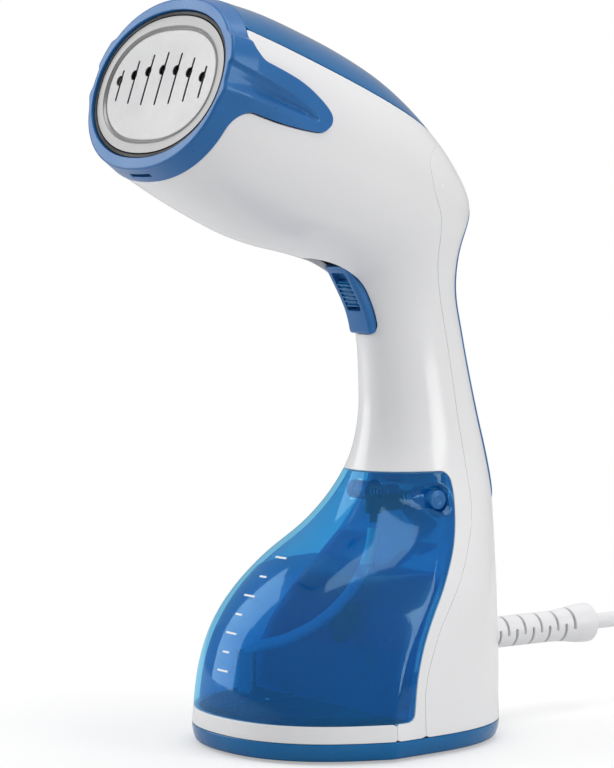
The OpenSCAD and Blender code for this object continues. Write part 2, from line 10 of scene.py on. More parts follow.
import bmesh
import bpy
import numpy as np
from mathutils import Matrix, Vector


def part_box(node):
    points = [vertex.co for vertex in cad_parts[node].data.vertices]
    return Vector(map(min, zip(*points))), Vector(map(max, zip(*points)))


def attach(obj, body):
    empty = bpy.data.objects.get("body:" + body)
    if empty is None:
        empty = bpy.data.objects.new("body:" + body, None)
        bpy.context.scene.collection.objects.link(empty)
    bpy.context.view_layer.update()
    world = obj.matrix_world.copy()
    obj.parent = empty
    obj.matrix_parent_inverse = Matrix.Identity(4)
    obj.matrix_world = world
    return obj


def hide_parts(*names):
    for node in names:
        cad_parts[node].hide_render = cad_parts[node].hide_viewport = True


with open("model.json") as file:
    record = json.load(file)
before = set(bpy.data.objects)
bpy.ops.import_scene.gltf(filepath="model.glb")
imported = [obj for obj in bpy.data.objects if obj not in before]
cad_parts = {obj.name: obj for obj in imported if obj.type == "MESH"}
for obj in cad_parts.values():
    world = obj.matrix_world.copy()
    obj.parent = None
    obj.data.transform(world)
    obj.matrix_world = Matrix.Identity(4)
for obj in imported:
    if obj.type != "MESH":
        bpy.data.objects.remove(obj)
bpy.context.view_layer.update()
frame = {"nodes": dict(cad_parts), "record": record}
MM = 0.001

# ---- Places read from the frame ----------------------------------------------------------


def cad_box(node):
    """Lowest and highest corner of a CAD node, in millimetres."""
    lo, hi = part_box(node)
    return np.array(lo) / MM, np.array(hi) / MM


BAND_LO, _ = cad_box("trim_band")
TANK_LO, TANK_HI = cad_box("tank_shell")
BUTTON_LO, BUTTON_HI = cad_box("release_button_left")
CORD_LO, CORD_HI = cad_box("power_cord")
_, GUARD_HI = cad_box("cord_guard")

GAP = 0.3             # between housing parts that meet
WING_GAP = 0.12       # between the shells and the ring's wings
TRIM = 0.05           # the least clearance at a flat cut
WALL = 2.4
TANK_WALL = 2.2
FLOOR_GAP = 1.0       # the feet hold the base this far off the floor
BASE_TOP = BAND_LO[2]
BAND_TOP = TANK_LO[2] - 0.1
TANK_TOP = TANK_HI[2]
BUTTON_Y = (BUTTON_LO[1] + BUTTON_HI[1]) / 2
BUTTON_Z = (BUTTON_LO[2] + BUTTON_HI[2]) / 2
BUTTON_R = 4.0
FLANGE_R = 4.8
CORD_Z = (CORD_LO[2] + CORD_HI[2]) / 2
CREASE_Y = -16.0

# Stations of the body: front (or lower) point y,z; rear (or upper) point y,z; half width;
# where along that chord the widest point lies; exponent of the superellipse
STATIONS = np.array([
    [-62, 1, 64, 1, 54.5, 0.5, 2.35],
    [-63, 4, 65, 4, 56, 0.5, 2.35],
    [-63, 15.5, 65.5, 15.5, 56, 0.5, 2.3],
    [-61, 35, 67, 35, 54, 0.5, 2.25],
    [-56.5, 50, 68, 49, 50.5, 0.51, 2.2],
    [-47.5, 64, 69, 63, 46, 0.53, 2.15],
    [-33.5, 77, 70, 76, 40.5, 0.53, 2.1],
    [-14.5, 89, 70.5, 89, 34.5, 0.52, 2.1],
    [-2, 101, 71, 101, 29, 0.5, 2.1],
    [7, 115, 69.5, 113, 24, 0.5, 2.1],
    [11, 131, 66, 128, 20.5, 0.5, 2.1],
    [11, 149, 61.5, 147, 18.5, 0.5, 2.1],
    [9.5, 167, 57, 167, 17.8, 0.5, 2.1],
    [6, 180, 53, 187, 18.8, 0.5, 2.1],
    [0, 190, 54.5, 205, 23, 0.48, 2.1],
    [-10, 196, 59.5, 220, 28, 0.45, 2.1],
    [-19, 199, 49, 238, 33.5, 0.45, 2.1],
    [-29, 201.5, 30, 257, 38, 0.47, 2.1],
    [-41, 204, 9, 272.5, 41.5, 0.48, 2.1],
    [-54, 208, -13, 283.5, 44, 0.5, 2.12],
    [-68, 214.5, -35, 292, 46, 0.5, 2.15],
    [-82, 222, -55, 298.5, 47, 0.5, 2.2],
    [-93, 228.5, -68, 301.5, 47.5, 0.5, 2.2],
])

# Side-view lines as y,z points: tank to housing, front shell to rear shell, top cover's edge
TANK_LINE = [(-6.8, 15.5), (-3.5, 33), (2, 46), (8.4, 56), (17.8, 68), (27.5, 82), (33, 95),
             (35, 104), (35, 111.5)]
SEAM_LINE = [(-1, 8.5), (0.5, 30), (9.5, 48), (32, 75), (43, 95), (45, 112), (44, 135),
             (40, 165), (36, 182), (31, 198), (27, 216), (20, 230), (22, 242), (36, 249)]
CREASE_LINE = [(CREASE_Y, 0), (CREASE_Y, 17), (-10, 40), (1, 55), (10, 65), (15, 75), (25, 96),
               (28, 104), (30, 125)]
COVER_FRONT = (-95, 296)
COVER_REAR = (60, 240.1)

# Nozzle frame: x across, v up the face, n forwards out of the ring's rear plane
TILT = math.radians(18.9)
NOZZLE = np.array([0, -80.5, 265])
NOZZLE_V = np.array([0, math.sin(TILT), math.cos(TILT)])
NOZZLE_N = np.array([0, -math.cos(TILT), math.sin(TILT)])
RING_DEPTH = 12.0
RING_BACK = 3.6
PLATE_A = 42.5
PLATE_B = 28.5
PLATE_E = 2.15

# ---- Curves and surfaces -----------------------------------------------------------------


def hermite(knots, rows, at):
    """Smooth cubic through rows of values at uneven knots."""
    slopes = np.gradient(rows, knots, axis=0)
    k = np.clip(np.searchsorted(knots, at) - 1, 0, len(knots) - 2)
    h = (knots[k + 1] - knots[k])[:, None]
    t = (at - knots[k])[:, None] / h
    a = (2 * t**3 - 3 * t**2 + 1) * rows[k] + (t**3 - 2 * t**2 + t) * h * slopes[k]
    return a + (-2 * t**3 + 3 * t**2) * rows[k + 1] + (t**3 - t**2) * h * slopes[k + 1]


def softened(table, sigma):
    """Rows of an evenly spaced table, smoothed along it; its ends carry on straight."""
    reach = int(4 * sigma)
    kernel = np.exp(-0.5 * (np.arange(-reach, reach + 1) / sigma) ** 2)
    kernel /= kernel.sum()
    steps = np.arange(reach, 0, -1)[:, None]
    head = table[0] - steps * (table[1] - table[0])
    tail = table[-1] + steps[::-1] * (table[-1] - table[-2])
    padded = np.concatenate([head, table, tail])
    return np.stack([np.convolve(padded[:, c], kernel, "valid") for c in range(table.shape[1])], 1)


MIDDLES = (STATIONS[:, 0:2] + STATIONS[:, 2:4]) / 2
S_KNOTS = np.concatenate([[0], np.cumsum(np.linalg.norm(np.diff(MIDDLES, axis=0), axis=1))])
S_END = S_KNOTS[-1]
S_STEP = 0.5
S_TABLE = np.arange(0, S_END + S_STEP / 2, S_STEP)
S_ROWS = softened(hermite(S_KNOTS, STATIONS, S_TABLE), 6)


def stretched(table_at, rows, at):
    """Linear reading of a table that carries on straight past its ends."""
    out = np.stack([np.interp(at, table_at, rows[:, c]) for c in range(rows.shape[1])], 1)
    step = table_at[1] - table_at[0]
    low = np.minimum(at - table_at[0], 0)[:, None]
    high = np.maximum(at - table_at[-1], 0)[:, None]
    return out + low * (rows[1] - rows[0]) / step + high * (rows[-1] - rows[-2]) / step


def line_y(points, sigma=3.0):
    """Side-view line y(z) through points, as a function that gives y and its slope at z."""
    pts = np.array(points, float)
    z = np.arange(pts[0, 1], pts[-1, 1], 0.5)
    y = softened(hermite(pts[:, 1], pts[:, :1], z), sigma)[:, 0]
    slope = np.gradient(y, z)
    return lambda at: (np.interp(at, z, y), np.interp(at, z, slope))


tank_y = line_y(TANK_LINE)
seam_y = line_y(SEAM_LINE)
crease_y = line_y(CREASE_LINE, 8.0)


def signed_pow(value, power):
    return np.sign(value) * np.abs(value) ** power


CREASE_RISE = 3.0
CREASE_REACH = 14.0
CREASE_ROUND = 0.9


def add_crease(p):
    """Raises the soft corner that runs up each side of the base and the tank."""
    line, slope = crease_y(p[:, 2])
    off = (p[:, 1] - line) / np.sqrt(1 + slope**2)
    rise = CREASE_RISE * np.interp(p[:, 2], [60, 100, 122], [1, 0.62, 0])
    side = np.clip(np.abs(p[:, 0]) / 12, 0, 1)
    p[:, 0] += np.sign(p[:, 0]) * side * rise * (
        np.exp(-(np.sqrt(off**2 + CREASE_ROUND**2) - CREASE_ROUND) / CREASE_REACH) - 0.45)
    return p


def body_point(s, w):
    """Point on the body's outside at s along it and w degrees round it."""
    row = stretched(S_TABLE, S_ROWS, s)
    a = np.radians(w)
    power = 2 / row[:, 6]
    along = signed_pow(np.sin(a), power)
    share = row[:, 5] + np.where(along > 0, (1 - row[:, 5]) * along, row[:, 5] * along)
    y = row[:, 0] + (row[:, 2] - row[:, 0]) * share
    z = row[:, 1] + (row[:, 3] - row[:, 1]) * share
    return add_crease(np.stack([row[:, 4] * signed_pow(np.cos(a), power), y, z], 1))


def unit(rows):
    """Vectors, one a row, at length 1."""
    return rows / np.maximum(np.linalg.norm(rows, axis=1, keepdims=True), 1e-12)


def normals_of(surface, u, w, reach=0.12):
    """Unit normals of a surface(u, w), from central differences."""
    along = surface(u + reach, w) - surface(u - reach, w)
    around = surface(u, w + reach) - surface(u, w - reach)
    return unit(np.cross(around, along))


def offset_surface(surface, out):
    """The same surface moved out along its normals."""
    return lambda u, w: surface(u, w) + out * normals_of(surface, u, w)


def nozzle_coords(p):
    """x, v and n of points in the nozzle frame."""
    d = p - NOZZLE
    return p[:, 0], d @ NOZZLE_V, d @ NOZZLE_N


def tilted_point(origin, up_way, out_way, x, up, out):
    """Points in a frame that is tilted about x."""
    return origin + np.stack([x, 0 * x, 0 * x], 1) + np.outer(up, up_way) + np.outer(out, out_way)


def nozzle_point(x, v, n):
    return tilted_point(NOZZLE, NOZZLE_V, NOZZLE_N, x, v, n)


# ---- Signed distances, negative inside ---------------------------------------------------


def both(a, b, r=0.0):
    """Intersection of two regions, with the corner rounded to radius r."""
    if r == 0:
        return np.maximum(a, b)
    return np.minimum(np.maximum(a, b), -r) + np.hypot(np.maximum(a + r, 0), np.maximum(b + r, 0))


def all_of(*regions):
    """Intersection of several regions, with sharp corners."""
    return np.maximum.reduce(regions)


def either(a, b, r=0.0):
    """Union of two regions, with the inside corner filled to radius r."""
    return -both(-a, -b, r)


def spline_loop(points, steps=10):
    """Closed smooth outline through points."""
    pts = np.array(points, float)
    t = np.arange(0, len(pts), 1 / steps)
    k = t.astype(int)
    f = (t - k)[:, None]
    p0, p1, p2, p3 = (pts[(k + j) % len(pts)] for j in (-1, 0, 1, 2))
    return 0.5 * (2 * p1 + (p2 - p0) * f + (2 * p0 - 5 * p1 + 4 * p2 - p3) * f**2
                  + (3 * p1 - p0 - 3 * p2 + p3) * f**3)


def loop_distance(loop, a, b):
    """Signed distance from points a,b to a closed outline."""
    q = np.stack([a, b], 1)
    best = np.full(len(q), 1e9)
    inside = np.zeros(len(q), bool)
    for k in range(len(loop)):
        p0, p1 = loop[k], loop[(k + 1) % len(loop)]
        edge = p1 - p0
        rel = q - p0
        t = np.clip(rel @ edge / max(edge @ edge, 1e-12), 0, 1)
        best = np.minimum(best, np.linalg.norm(rel - t[:, None] * edge, axis=1))
        crosses = (p0[1] > q[:, 1]) != (p1[1] > q[:, 1])
        with np.errstate(divide="ignore", invalid="ignore"):
            at = p0[0] + (q[:, 1] - p0[1]) * edge[0] / edge[1]
        inside ^= crosses & (q[:, 0] < at)
    return np.where(inside, -best, best)


def oval_distance(x, v, a, b, e=PLATE_E):
    """Rough signed distance to a superellipse, exact on its outline."""
    r = (np.abs(x / a) ** e + np.abs(v / b) ** e) ** (1 / e)
    near = np.hypot(x, v)
    return near * (1 - 1 / np.maximum(r, 1e-6))


def beyond_line(line, p):
    """Positive behind a side-view line y(z)."""
    y, slope = line(p[:, 2])
    return (p[:, 1] - y) / np.sqrt(1 + slope**2)


def above_cover(p):
    """Positive above the straight edge between the shells and the top cover."""
    (y0, z0), (y1, z1) = COVER_FRONT, COVER_REAR
    length = math.hypot(y1 - y0, z1 - z0)
    return ((p[:, 1] - y0) * (z0 - z1) + (p[:, 2] - z0) * (y1 - y0)) / length


WING = spline_loop([(-14, -7.6), (5, -7.5), (20.5, -6.6), (37, -3.8), (41.2, -0.6), (42.3, 2.5),
                    (40.6, 5.6), (34, 9), (22.5, 12.2), (5, 13.4), (-14, 13.6)])


WING_FILLET = 8.5


def wing(p):
    """Ring and side wings together, seen from the side, with filleted inside corners."""
    _, v, n = nozzle_coords(p)
    return either(loop_distance(WING, -n, v), RING_BACK - n, WING_FILLET)


def tank_window(p):
    """The opening in the housing that the tank fills."""
    f = both(beyond_line(tank_y, p), p[:, 2] - TANK_TOP, 4.5)
    return both(f, BAND_TOP - p[:, 2], 3.0)


TRIGGER_HALF_W, TRIGGER_HALF_H, TRIGGER_Z = 8.0, 15.8, 183.2
TRIGGER_CORNER = 5
TRIGGER_BACK = 21


def trigger_window(p):
    """The rounded opening in the handle's front that the trigger fills."""
    dx = np.abs(p[:, 0]) - TRIGGER_HALF_W
    dz = np.abs(p[:, 2] - TRIGGER_Z) - TRIGGER_HALF_H
    outside = np.hypot(np.maximum(dx + TRIGGER_CORNER, 0), np.maximum(dz + TRIGGER_CORNER, 0))
    box = outside + np.minimum(np.maximum(dx, dz) + TRIGGER_CORNER, 0) - TRIGGER_CORNER
    return both(box, p[:, 1] - TRIGGER_BACK)


GRIP_HALF_W = 15.0
GRIP_FRONT = 38
# Half of the waisted panel's outline: share of its half width, height
GRIP_HALF = [(0, 90), (0.55, 93), (0.93, 98), (1, 105), (0.9, 116), (0.76, 130), (0.68, 145),
             (0.64, 158), (0.64, 170), (0.7, 185), (0.8, 197), (0.9, 209), (0.84, 217), (0.56, 223),
             (0, 226)]


def grip_outline():
    half = [(GRIP_HALF_W * share, z) for share, z in GRIP_HALF]
    return spline_loop(half + [(-x, z) for x, z in half[-2:0:-1]], 4)


GRIP = grip_outline()


def grip(p):
    """The grip panel's area on the back of the handle."""
    return both(loop_distance(GRIP, p[:, 0], p[:, 2]), GRIP_FRONT - p[:, 1])


# ---- Mesh making -------------------------------------------------------------------------


def new_object(name, points, faces, loop_normals=None):
    """Smooth-shaded mesh object from points in millimetres."""
    mesh = bpy.data.meshes.new(name)
    mesh.from_pydata([tuple(p) for p in np.asarray(points) * MM], [], faces)
    mesh.update()
    mesh.shade_smooth()
    if loop_normals is not None:
        mesh.normals_split_custom_set(loop_normals)
    o = bpy.data.objects.new(name, mesh)
    bpy.context.scene.collection.objects.link(o)
    return o


def only_used(faces, count):
    """Which of count points the faces use, and the faces renumbered to those."""
    used = np.unique(np.concatenate([np.array(f) for f in faces]))
    remap = np.full(count, -1)
    remap[used] = np.arange(len(used))
    return used, [[int(remap[v]) for v in f] for f in faces]


def finish(o, body, material):
    """Rides a piece on its body and gives it its material."""
    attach(o, body)
    o.data.materials.clear()
    o.data.materials.append(material)


def place(o, body, node, slot):
    """Rides a piece on its body, stands it in for its CAD node and gives it the slot's look."""
    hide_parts(node)
    finish(o, body, MATERIALS[slot])


class Skin:
    """A surface(u, w) on a grid, trimmed where region(point) is positive."""

    def __init__(self, surface, us, ws, region, lip, wrap=True):
        self.surface, self.region, self.lip = surface, region, lip
        nu, nw = len(us), len(ws)
        self.nu, self.nw = nu, nw
        u, w = np.meshgrid(us, ws, indexing="ij")
        self.uv = np.stack([u, w], -1).reshape(-1, 2).astype(float)
        self.f = self.distance(self.uv)
        ids = np.arange(nu * nw).reshape(nu, nw)
        right = np.roll(ids, -1, 1)
        turn = np.zeros((nu, nw))
        turn[:, -1] = 360
        if not wrap:
            right, turn = right[:, :-1], turn[:, :-1]
        across = ids if wrap else ids[:, :-1]
        self.edges = np.concatenate([
            np.stack([ids[:-1].ravel(), ids[1:].ravel()], 1),
            np.stack([across.ravel(), right.ravel()], 1)])
        self.turn = np.concatenate([np.zeros(ids[:-1].size), turn.ravel()])
        self.cells = np.stack([across[:-1], right[:-1], right[1:], across[1:]], -1).reshape(-1, 4)
        self.snap()
        self.cut()

    def distance(self, uv):
        return self.region(self.surface(uv[:, 0], uv[:, 1])) + self.lip

    def crossing(self, pick):
        """Where the trim line crosses the picked edges: share along each, and u,w there."""
        a, b = self.edges[pick].T
        start, end = self.uv[a], self.uv[b] + np.stack([0 * self.turn[pick], self.turn[pick]], 1)
        lo, hi = np.zeros(len(a)), np.ones(len(a))
        f_lo, f_hi = self.f[a].copy(), self.f[b].copy()
        for _ in range(7):
            margin = 0.02 * (hi - lo)
            t = np.clip(lo + (hi - lo) * f_lo / (f_lo - f_hi), lo + margin, hi - margin)
            f = self.distance(start + t[:, None] * (end - start))
            same = f * f_lo > 0
            lo, f_lo = np.where(same, t, lo), np.where(same, f, f_lo)
            hi, f_hi = np.where(same, hi, t), np.where(same, f_hi, f)
        t = lo + (hi - lo) * f_lo / (f_lo - f_hi)
        return t, start + t[:, None] * (end - start)

    def snap(self):
        """Moves grid points that lie close to the trim line onto it."""
        pick = np.flatnonzero(self.f[self.edges[:, 0]] * self.f[self.edges[:, 1]] < 0)
        t, uv = self.crossing(pick)
        near = np.where(t < 0.5, t, 1 - t)
        order = [k for k in np.argsort(-near) if near[k] < 0.33]
        for k in order:
            a, b = self.edges[pick[k]]
            end = a if t[k] < 0.5 else b
            back = self.turn[pick[k]] if end == b else 0
            self.uv[end] = uv[k] - (0, back)
            self.f[end] = 0

    def cut(self):
        """Keeps the cells inside the trim line and cuts those it crosses."""
        pick = np.flatnonzero(self.f[self.edges[:, 0]] * self.f[self.edges[:, 1]] < 0)
        _, uv = self.crossing(pick)
        first = len(self.uv)
        added = {}
        for k, (a, b) in enumerate(self.edges[pick]):
            added[(a, b)] = added[(b, a)] = first + k
        self.uv = np.concatenate([self.uv, uv])
        self.f = np.concatenate([self.f, np.zeros(len(uv))])
        signs = np.sign(self.f[self.cells])
        whole = (signs <= 0).all(1) & (signs < 0).any(1)
        flat = np.flatnonzero((signs == 0).all(1))
        corners = self.uv[self.cells[flat]]
        corners[:, :, 1] += np.where(corners[:, :, 1] - corners[:, :1, 1] < -180, 360, 0)
        whole[flat] = self.distance(corners.mean(1)) < 0
        mixed = (signs > 0).any(1) & (signs < 0).any(1)
        faces = self.cells[whole].tolist()
        for cell in self.cells[mixed]:
            face = []
            for k in range(4):
                a, b = cell[k], cell[(k + 1) % 4]
                if self.f[a] <= 0:
                    face.append(int(a))
                if (a, b) in added:
                    face.append(added[(a, b)])
            if len(face) > 2:
                faces.append(face)
        used, self.faces = only_used(faces, len(self.uv))
        self.row = np.where(used < self.nu * self.nw, used // self.nw, -1)
        self.uv = self.uv[used]
        self.points = self.surface(self.uv[:, 0], self.uv[:, 1])
        self.normals = normals_of(self.surface, self.uv[:, 0], self.uv[:, 1])

    def rim(self):
        """Directed edges that only one face uses."""
        edges = np.array([(f[k], f[(k + 1) % len(f)]) for f in self.faces for k in range(len(f))])
        size = len(self.uv)
        keys = edges[:, 0].astype(np.int64) * size + edges[:, 1]
        back = edges[:, 1].astype(np.int64) * size + edges[:, 0]
        return edges[~np.isin(keys, back)]

    def conormals(self, at):
        """Directions in the surface that point out of the region."""
        p, n = self.points[at], self.normals[at]
        grad = np.zeros_like(p)
        for k in range(3):
            step = np.zeros(3)
            step[k] = 0.05
            grad[:, k] = self.region(p + step) - self.region(p - step)
        return unit(grad - (grad * n).sum(1, keepdims=True) * n)


def shell(name, surface, us, ws, region, wall=WALL, lip=0.35, wrap=True, inner_rows=None, lip_steps=3):
    """Closed shell: outside, rounded lip, cut wall and inside. With inner_rows, the grid's last
    row turns in and meets the inside at that row instead of being trimmed."""
    skin = Skin(surface, us, ws, region, lip, wrap)
    p, n = skin.points, skin.normals
    count = len(p)
    rim = skin.rim()
    last = len(us) - 1
    bridge = np.zeros(len(rim), bool)
    if inner_rows is not None:
        bridge = (skin.row[rim[:, 0]] == last) & (skin.row[rim[:, 1]] == last)
    open_rim = rim[~bridge]
    at = np.unique(open_rim)
    c = skin.conormals(at)
    points = [p]
    slot_of = np.full(count, -1)
    slot_of[at] = np.arange(len(at))
    rings = [at]
    total = count
    ring_normals = [n[at]]
    for k in range(1, lip_steps + 1):
        a = math.pi / 2 * k / lip_steps
        points.append(p[at] - n[at] * lip * (1 - math.cos(a)) + c * lip * math.sin(a))
        ring_normals.append(n[at] * math.cos(a) + c * math.sin(a))
        rings.append(np.arange(total, total + len(at)))
        total += len(at)
    inside = p - n * wall
    inside[at] += c * lip
    inner_start = total
    points.append(inside)
    total += count
    rings.append(inner_start + at)
    ring_normals.append(c)
    all_points = np.concatenate(points)
    ea, eb = slot_of[open_rim[:, 0]], slot_of[open_rim[:, 1]]
    faces, normal_rows = [], []

    def add(face, face_normals):
        faces.append(face)
        normal_rows.extend(face_normals)

    for f in skin.faces:
        add(f, n[f])
    for k in range(len(rings) - 1):
        upper, lower = rings[k], rings[k + 1]
        na, nb = ring_normals[k], ring_normals[k + 1]
        if k == len(rings) - 2:
            na = nb = c
        for a, b in zip(ea, eb):
            add([int(upper[b]), int(upper[a]), int(lower[a]), int(lower[b])],
                [na[b], na[a], nb[a], nb[b]])
    keep = np.ones(count, bool) if inner_rows is None else skin.row <= inner_rows
    for f in skin.faces:
        if keep[f].all():
            back = f[::-1]
            add([inner_start + v for v in back], -n[back])
    if inner_rows is not None:
        cols = {}
        ids = np.flatnonzero((skin.row == last) | (skin.row == inner_rows))
        for v in ids:
            cols.setdefault(round(skin.uv[v, 1], 6), {})[int(skin.row[v])] = v
        for a, b in rim[bridge]:
            ia = cols[round(skin.uv[a, 1], 6)][inner_rows]
            ib = cols[round(skin.uv[b, 1], 6)][inner_rows]
            add([int(b), int(a), inner_start + int(ia), inner_start + int(ib)],
                [n[b], n[a], -n[ia], -n[ib]])
        used, faces = only_used(faces, len(all_points))
        all_points = all_points[used]
    return new_object(name, all_points, faces, normal_rows)


def steps(lo, hi, step):
    """Even values from lo to hi, about step apart."""
    return np.linspace(lo, hi, max(2, int(round((hi - lo) / step)) + 1))


def around(count):
    """Even angles round a circle, in degrees."""
    return np.arange(count) * 360 / count


def s_at(z):
    """Distance along the body at which its middle reaches height z."""
    return float(np.interp(z, (S_ROWS[:, 1] + S_ROWS[:, 3]) / 2, S_TABLE))


def lofted(name, rings, closed=False, sharp=40):
    """Solid skin through rings of equal length; open ends are closed with fans, closed joins
    the last ring to the first."""
    rings = np.asarray(rings, float)
    count, n = rings.shape[:2]
    points = rings.reshape(-1, 3)
    faces = []
    for k in range(count if closed else count - 1):
        a, b = k * n, (k + 1) % count * n
        for j in range(n):
            i = (j + 1) % n
            faces.append([a + j, a + i, b + i, b + j])
    if not closed:
        points = np.concatenate([points, rings[0].mean(0)[None], rings[-1].mean(0)[None]])
        first, final = count * n, count * n + 1
        top = (count - 1) * n
        faces += [[first, (j + 1) % n, j] for j in range(n)]
        faces += [[final, top + j, top + (j + 1) % n] for j in range(n)]
    o = new_object(name, points, faces)
    face_out(o.data)
    o.data.set_sharp_from_angle(angle=math.radians(sharp))
    return o


def face_out(mesh):
    """Turns a closed mesh's faces outwards."""
    b = bmesh.new()
    b.from_mesh(mesh)
    bmesh.ops.recalc_face_normals(b, faces=b.faces)
    b.to_mesh(mesh)
    b.free()


def revolved(name, profile, origin, axis, count=64, closed=False, sharp=40):
    """Profile of (distance along the axis, radius) turned round the axis at origin."""
    axis = np.array(axis, float)
    side = np.cross(axis, [0, 0, 1] if abs(axis[2]) < 0.9 else [1, 0, 0])
    side /= np.linalg.norm(side)
    up = np.cross(axis, side)
    a = np.radians(around(count))
    spokes = np.outer(np.cos(a), side) + np.outer(np.sin(a), up)
    rings = [np.array(origin) + h * axis + r * spokes for h, r in profile]
    return lofted(name, rings, closed, sharp)


def arc(centre, r, start, end, count=5):
    """Points h,r of a fillet, from start to end degrees; 0 points along the axis."""
    a = np.radians(np.linspace(start, end, count))
    return [(centre[0] + r * math.cos(t), centre[1] + r * math.sin(t)) for t in a]


def tube(name, path, radius, count=24):
    """Round tube along a path; radius is one number or one for each point."""
    path = np.asarray(path, float)
    radius = np.broadcast_to(np.asarray(radius, float), len(path))
    along = unit(np.gradient(path, axis=0))
    side = np.cross(along[0], [1, 0, 0.01])
    side /= np.linalg.norm(side)
    a = np.radians(around(count))
    rings = []
    for p, t, r in zip(path, along, radius):
        side = side - (side @ t) * t
        side /= np.linalg.norm(side)
        up = np.cross(t, side)
        rings.append(p + r * (np.outer(np.cos(a), side) + np.outer(np.sin(a), up)))
    return lofted(name, rings)


def inset_loop(loop, by):
    """Closed 2D outline moved inwards."""
    after = np.roll(loop, -1, 0)
    t = unit(after - np.roll(loop, 1, 0))
    area = 0.5 * np.sum(loop[:, 0] * after[:, 1] - after[:, 0] * loop[:, 1])
    inward = np.stack([-t[:, 1], t[:, 0]], 1) * (1 if area > 0 else -1)
    return loop + by * inward


def slab(name, loop, half, round_r, frame_of, sharp=50):
    """Outline swept from -half to half, with rounded edges. frame_of maps (loop, depth) to 3D."""
    rings = []
    turns = [math.pi / 2 * k / 5 for k in range(6)]
    for a in turns:
        rings.append(frame_of(inset_loop(loop, round_r * (1 - math.sin(a))),
                              -half + round_r * (1 - math.cos(a))))
    for a in turns:
        rings.append(frame_of(inset_loop(loop, round_r * (1 - math.cos(a))),
                              half - round_r * (1 - math.sin(a))))
    return lofted(name, rings, sharp=sharp)


def rounded_box_loop(a, b, r, count=6):
    """Outline of a box with half sizes a and b and corners of radius r."""
    pts = []
    corners = ((a - r, b - r, 0), (-a + r, b - r, 90), (-a + r, -b + r, 180), (a - r, -b + r, 270))
    for cx, cy, start in corners:
        for t in np.radians(np.linspace(start, start + 90, count)):
            pts.append((cx + r * math.cos(t), cy + r * math.sin(t)))
    return np.array(pts)


def carve(o, cutters, sharp=40):
    """Cuts cutters out of o and removes them."""
    for c in cutters:
        m = o.modifiers.new("cut", "BOOLEAN")
        m.operation = "DIFFERENCE"
        m.solver = "FAST"
        m.object = c
    bpy.context.view_layer.update()
    solved = o.evaluated_get(bpy.context.evaluated_depsgraph_get())
    done = bpy.data.meshes.new_from_object(solved)
    o.modifiers.clear()
    o.data = done
    done.shade_smooth()
    done.set_sharp_from_angle(angle=math.radians(sharp))
    for c in cutters:
        bpy.data.objects.remove(c)
    return o


def smooth(t):
    """Soft step from 0 at t = 0 to 1 at t = 1."""
    t = np.clip(t, 0, 1)
    return t * t * (3 - 2 * t)


# ---- Materials ---------------------------------------------------------------------------


def node(tree, kind, inputs=None, **settings):
    """Shader node with its inputs linked to sockets, to a node's first output, or set to values."""
    n = tree.nodes.new("ShaderNode" + kind)
    for key, value in settings.items():
        setattr(n, key, value)
    for key, value in (inputs or {}).items():
        if isinstance(value, bpy.types.Node):
            value = value.outputs[0]
        if isinstance(value, bpy.types.NodeSocket):
            tree.links.new(value, n.inputs[key])
        else:
            n.inputs[key].default_value = value
    return n


def blank(name):
    m = bpy.data.materials.new(name)
    m.use_nodes = True
    m.node_tree.nodes.clear()
    return m, m.node_tree


def place_coords(tree):
    return node(tree, "TexCoord").outputs["Object"]


def noise(tree, scale, detail=2.0, rough=0.5, where=None):
    inputs = {"Vector": where or place_coords(tree), "Scale": scale, "Detail": detail, "Roughness": rough}
    return node(tree, "TexNoise", inputs).outputs["Fac"]


def ramp(tree, value, low, high, out_low=0.0, out_high=1.0):
    """Straight, clamped map of value from low..high to out_low..out_high."""
    inputs = {"Value": value, "From Min": low, "From Max": high, "To Min": out_low, "To Max": out_high}
    return node(tree, "MapRange", inputs).outputs["Result"]


def tint(colour, factor):
    return tuple(min(1.0, c * factor) for c in colour[:3]) + (1.0,)


def mixed(tree, factor, a, b):
    return node(tree, "Mix", {"Factor": factor, 6: a, 7: b}, data_type="RGBA").outputs[2]


def bumps(tree, *layers):
    """Stacks bump layers, each (height socket, distance in metres, strength)."""
    normal = None
    for height, distance, strength in layers:
        inputs = {"Height": height, "Distance": distance, "Strength": strength}
        if normal is not None:
            inputs["Normal"] = normal
        normal = node(tree, "Bump", inputs).outputs["Normal"]
    return normal


def edge_wear_and_highlight(tree, low=0.52, high=0.6):
    """1 on convex edges, 0 on faces: where edges are made paler, partly as wear and partly as a painted
    highlight.
    """
    return ramp(tree, node(tree, "NewGeometry").outputs["Pointiness"], low, high)


def surface_out(tree, shader):
    node(tree, "OutputMaterial", {"Surface": shader})


WHITE_GLINT = (1.0, 1.0, 1.0, 1.0)
BLUE_GLINT = (0.4, 0.72, 1.0, 1.0)


def moulded(name, colour, rough=0.25, vary=0.05, grain=0.3, coat=0.0, wear_and_highlight=0.12, subsurface=0.0,
            glint=WHITE_GLINT):
    """Moulded plastic: flow mottling, fine grain or orange peel, edges made paler as rubbed wear and as a
    painted highlight.
    """
    m, t = blank(name)
    cloud = noise(t, 22, 3)
    base = mixed(t, ramp(t, cloud, 0.3, 0.7), tint(colour, 1 - vary), tint(colour, 1 + vary))
    # paler convex edges: partly rubbed wear, partly a painted highlight
    base = mixed(t, ramp(t, edge_wear_and_highlight(t), 0, 1, 0, wear_and_highlight), base, tint(colour, 1.5))
    fine = noise(t, 1600, 2)
    peel = noise(t, 160, 2)
    patches = ramp(t, noise(t, 60, 4), 0.35, 0.75, rough * 0.85, rough * 1.25)
    inputs = {"Base Color": base, "Roughness": patches,
              "Coat Weight": coat, "Coat Roughness": rough * 0.5,
              "Normal": bumps(t, (peel, 0.00008, 0.15), (fine, 0.00002, grain)),
              "Subsurface Weight": subsurface, "Subsurface Radius": (0.002, 0.002, 0.002),
              "Specular Tint": glint}
    surface_out(t, node(t, "BsdfPrincipled", inputs))
    return m


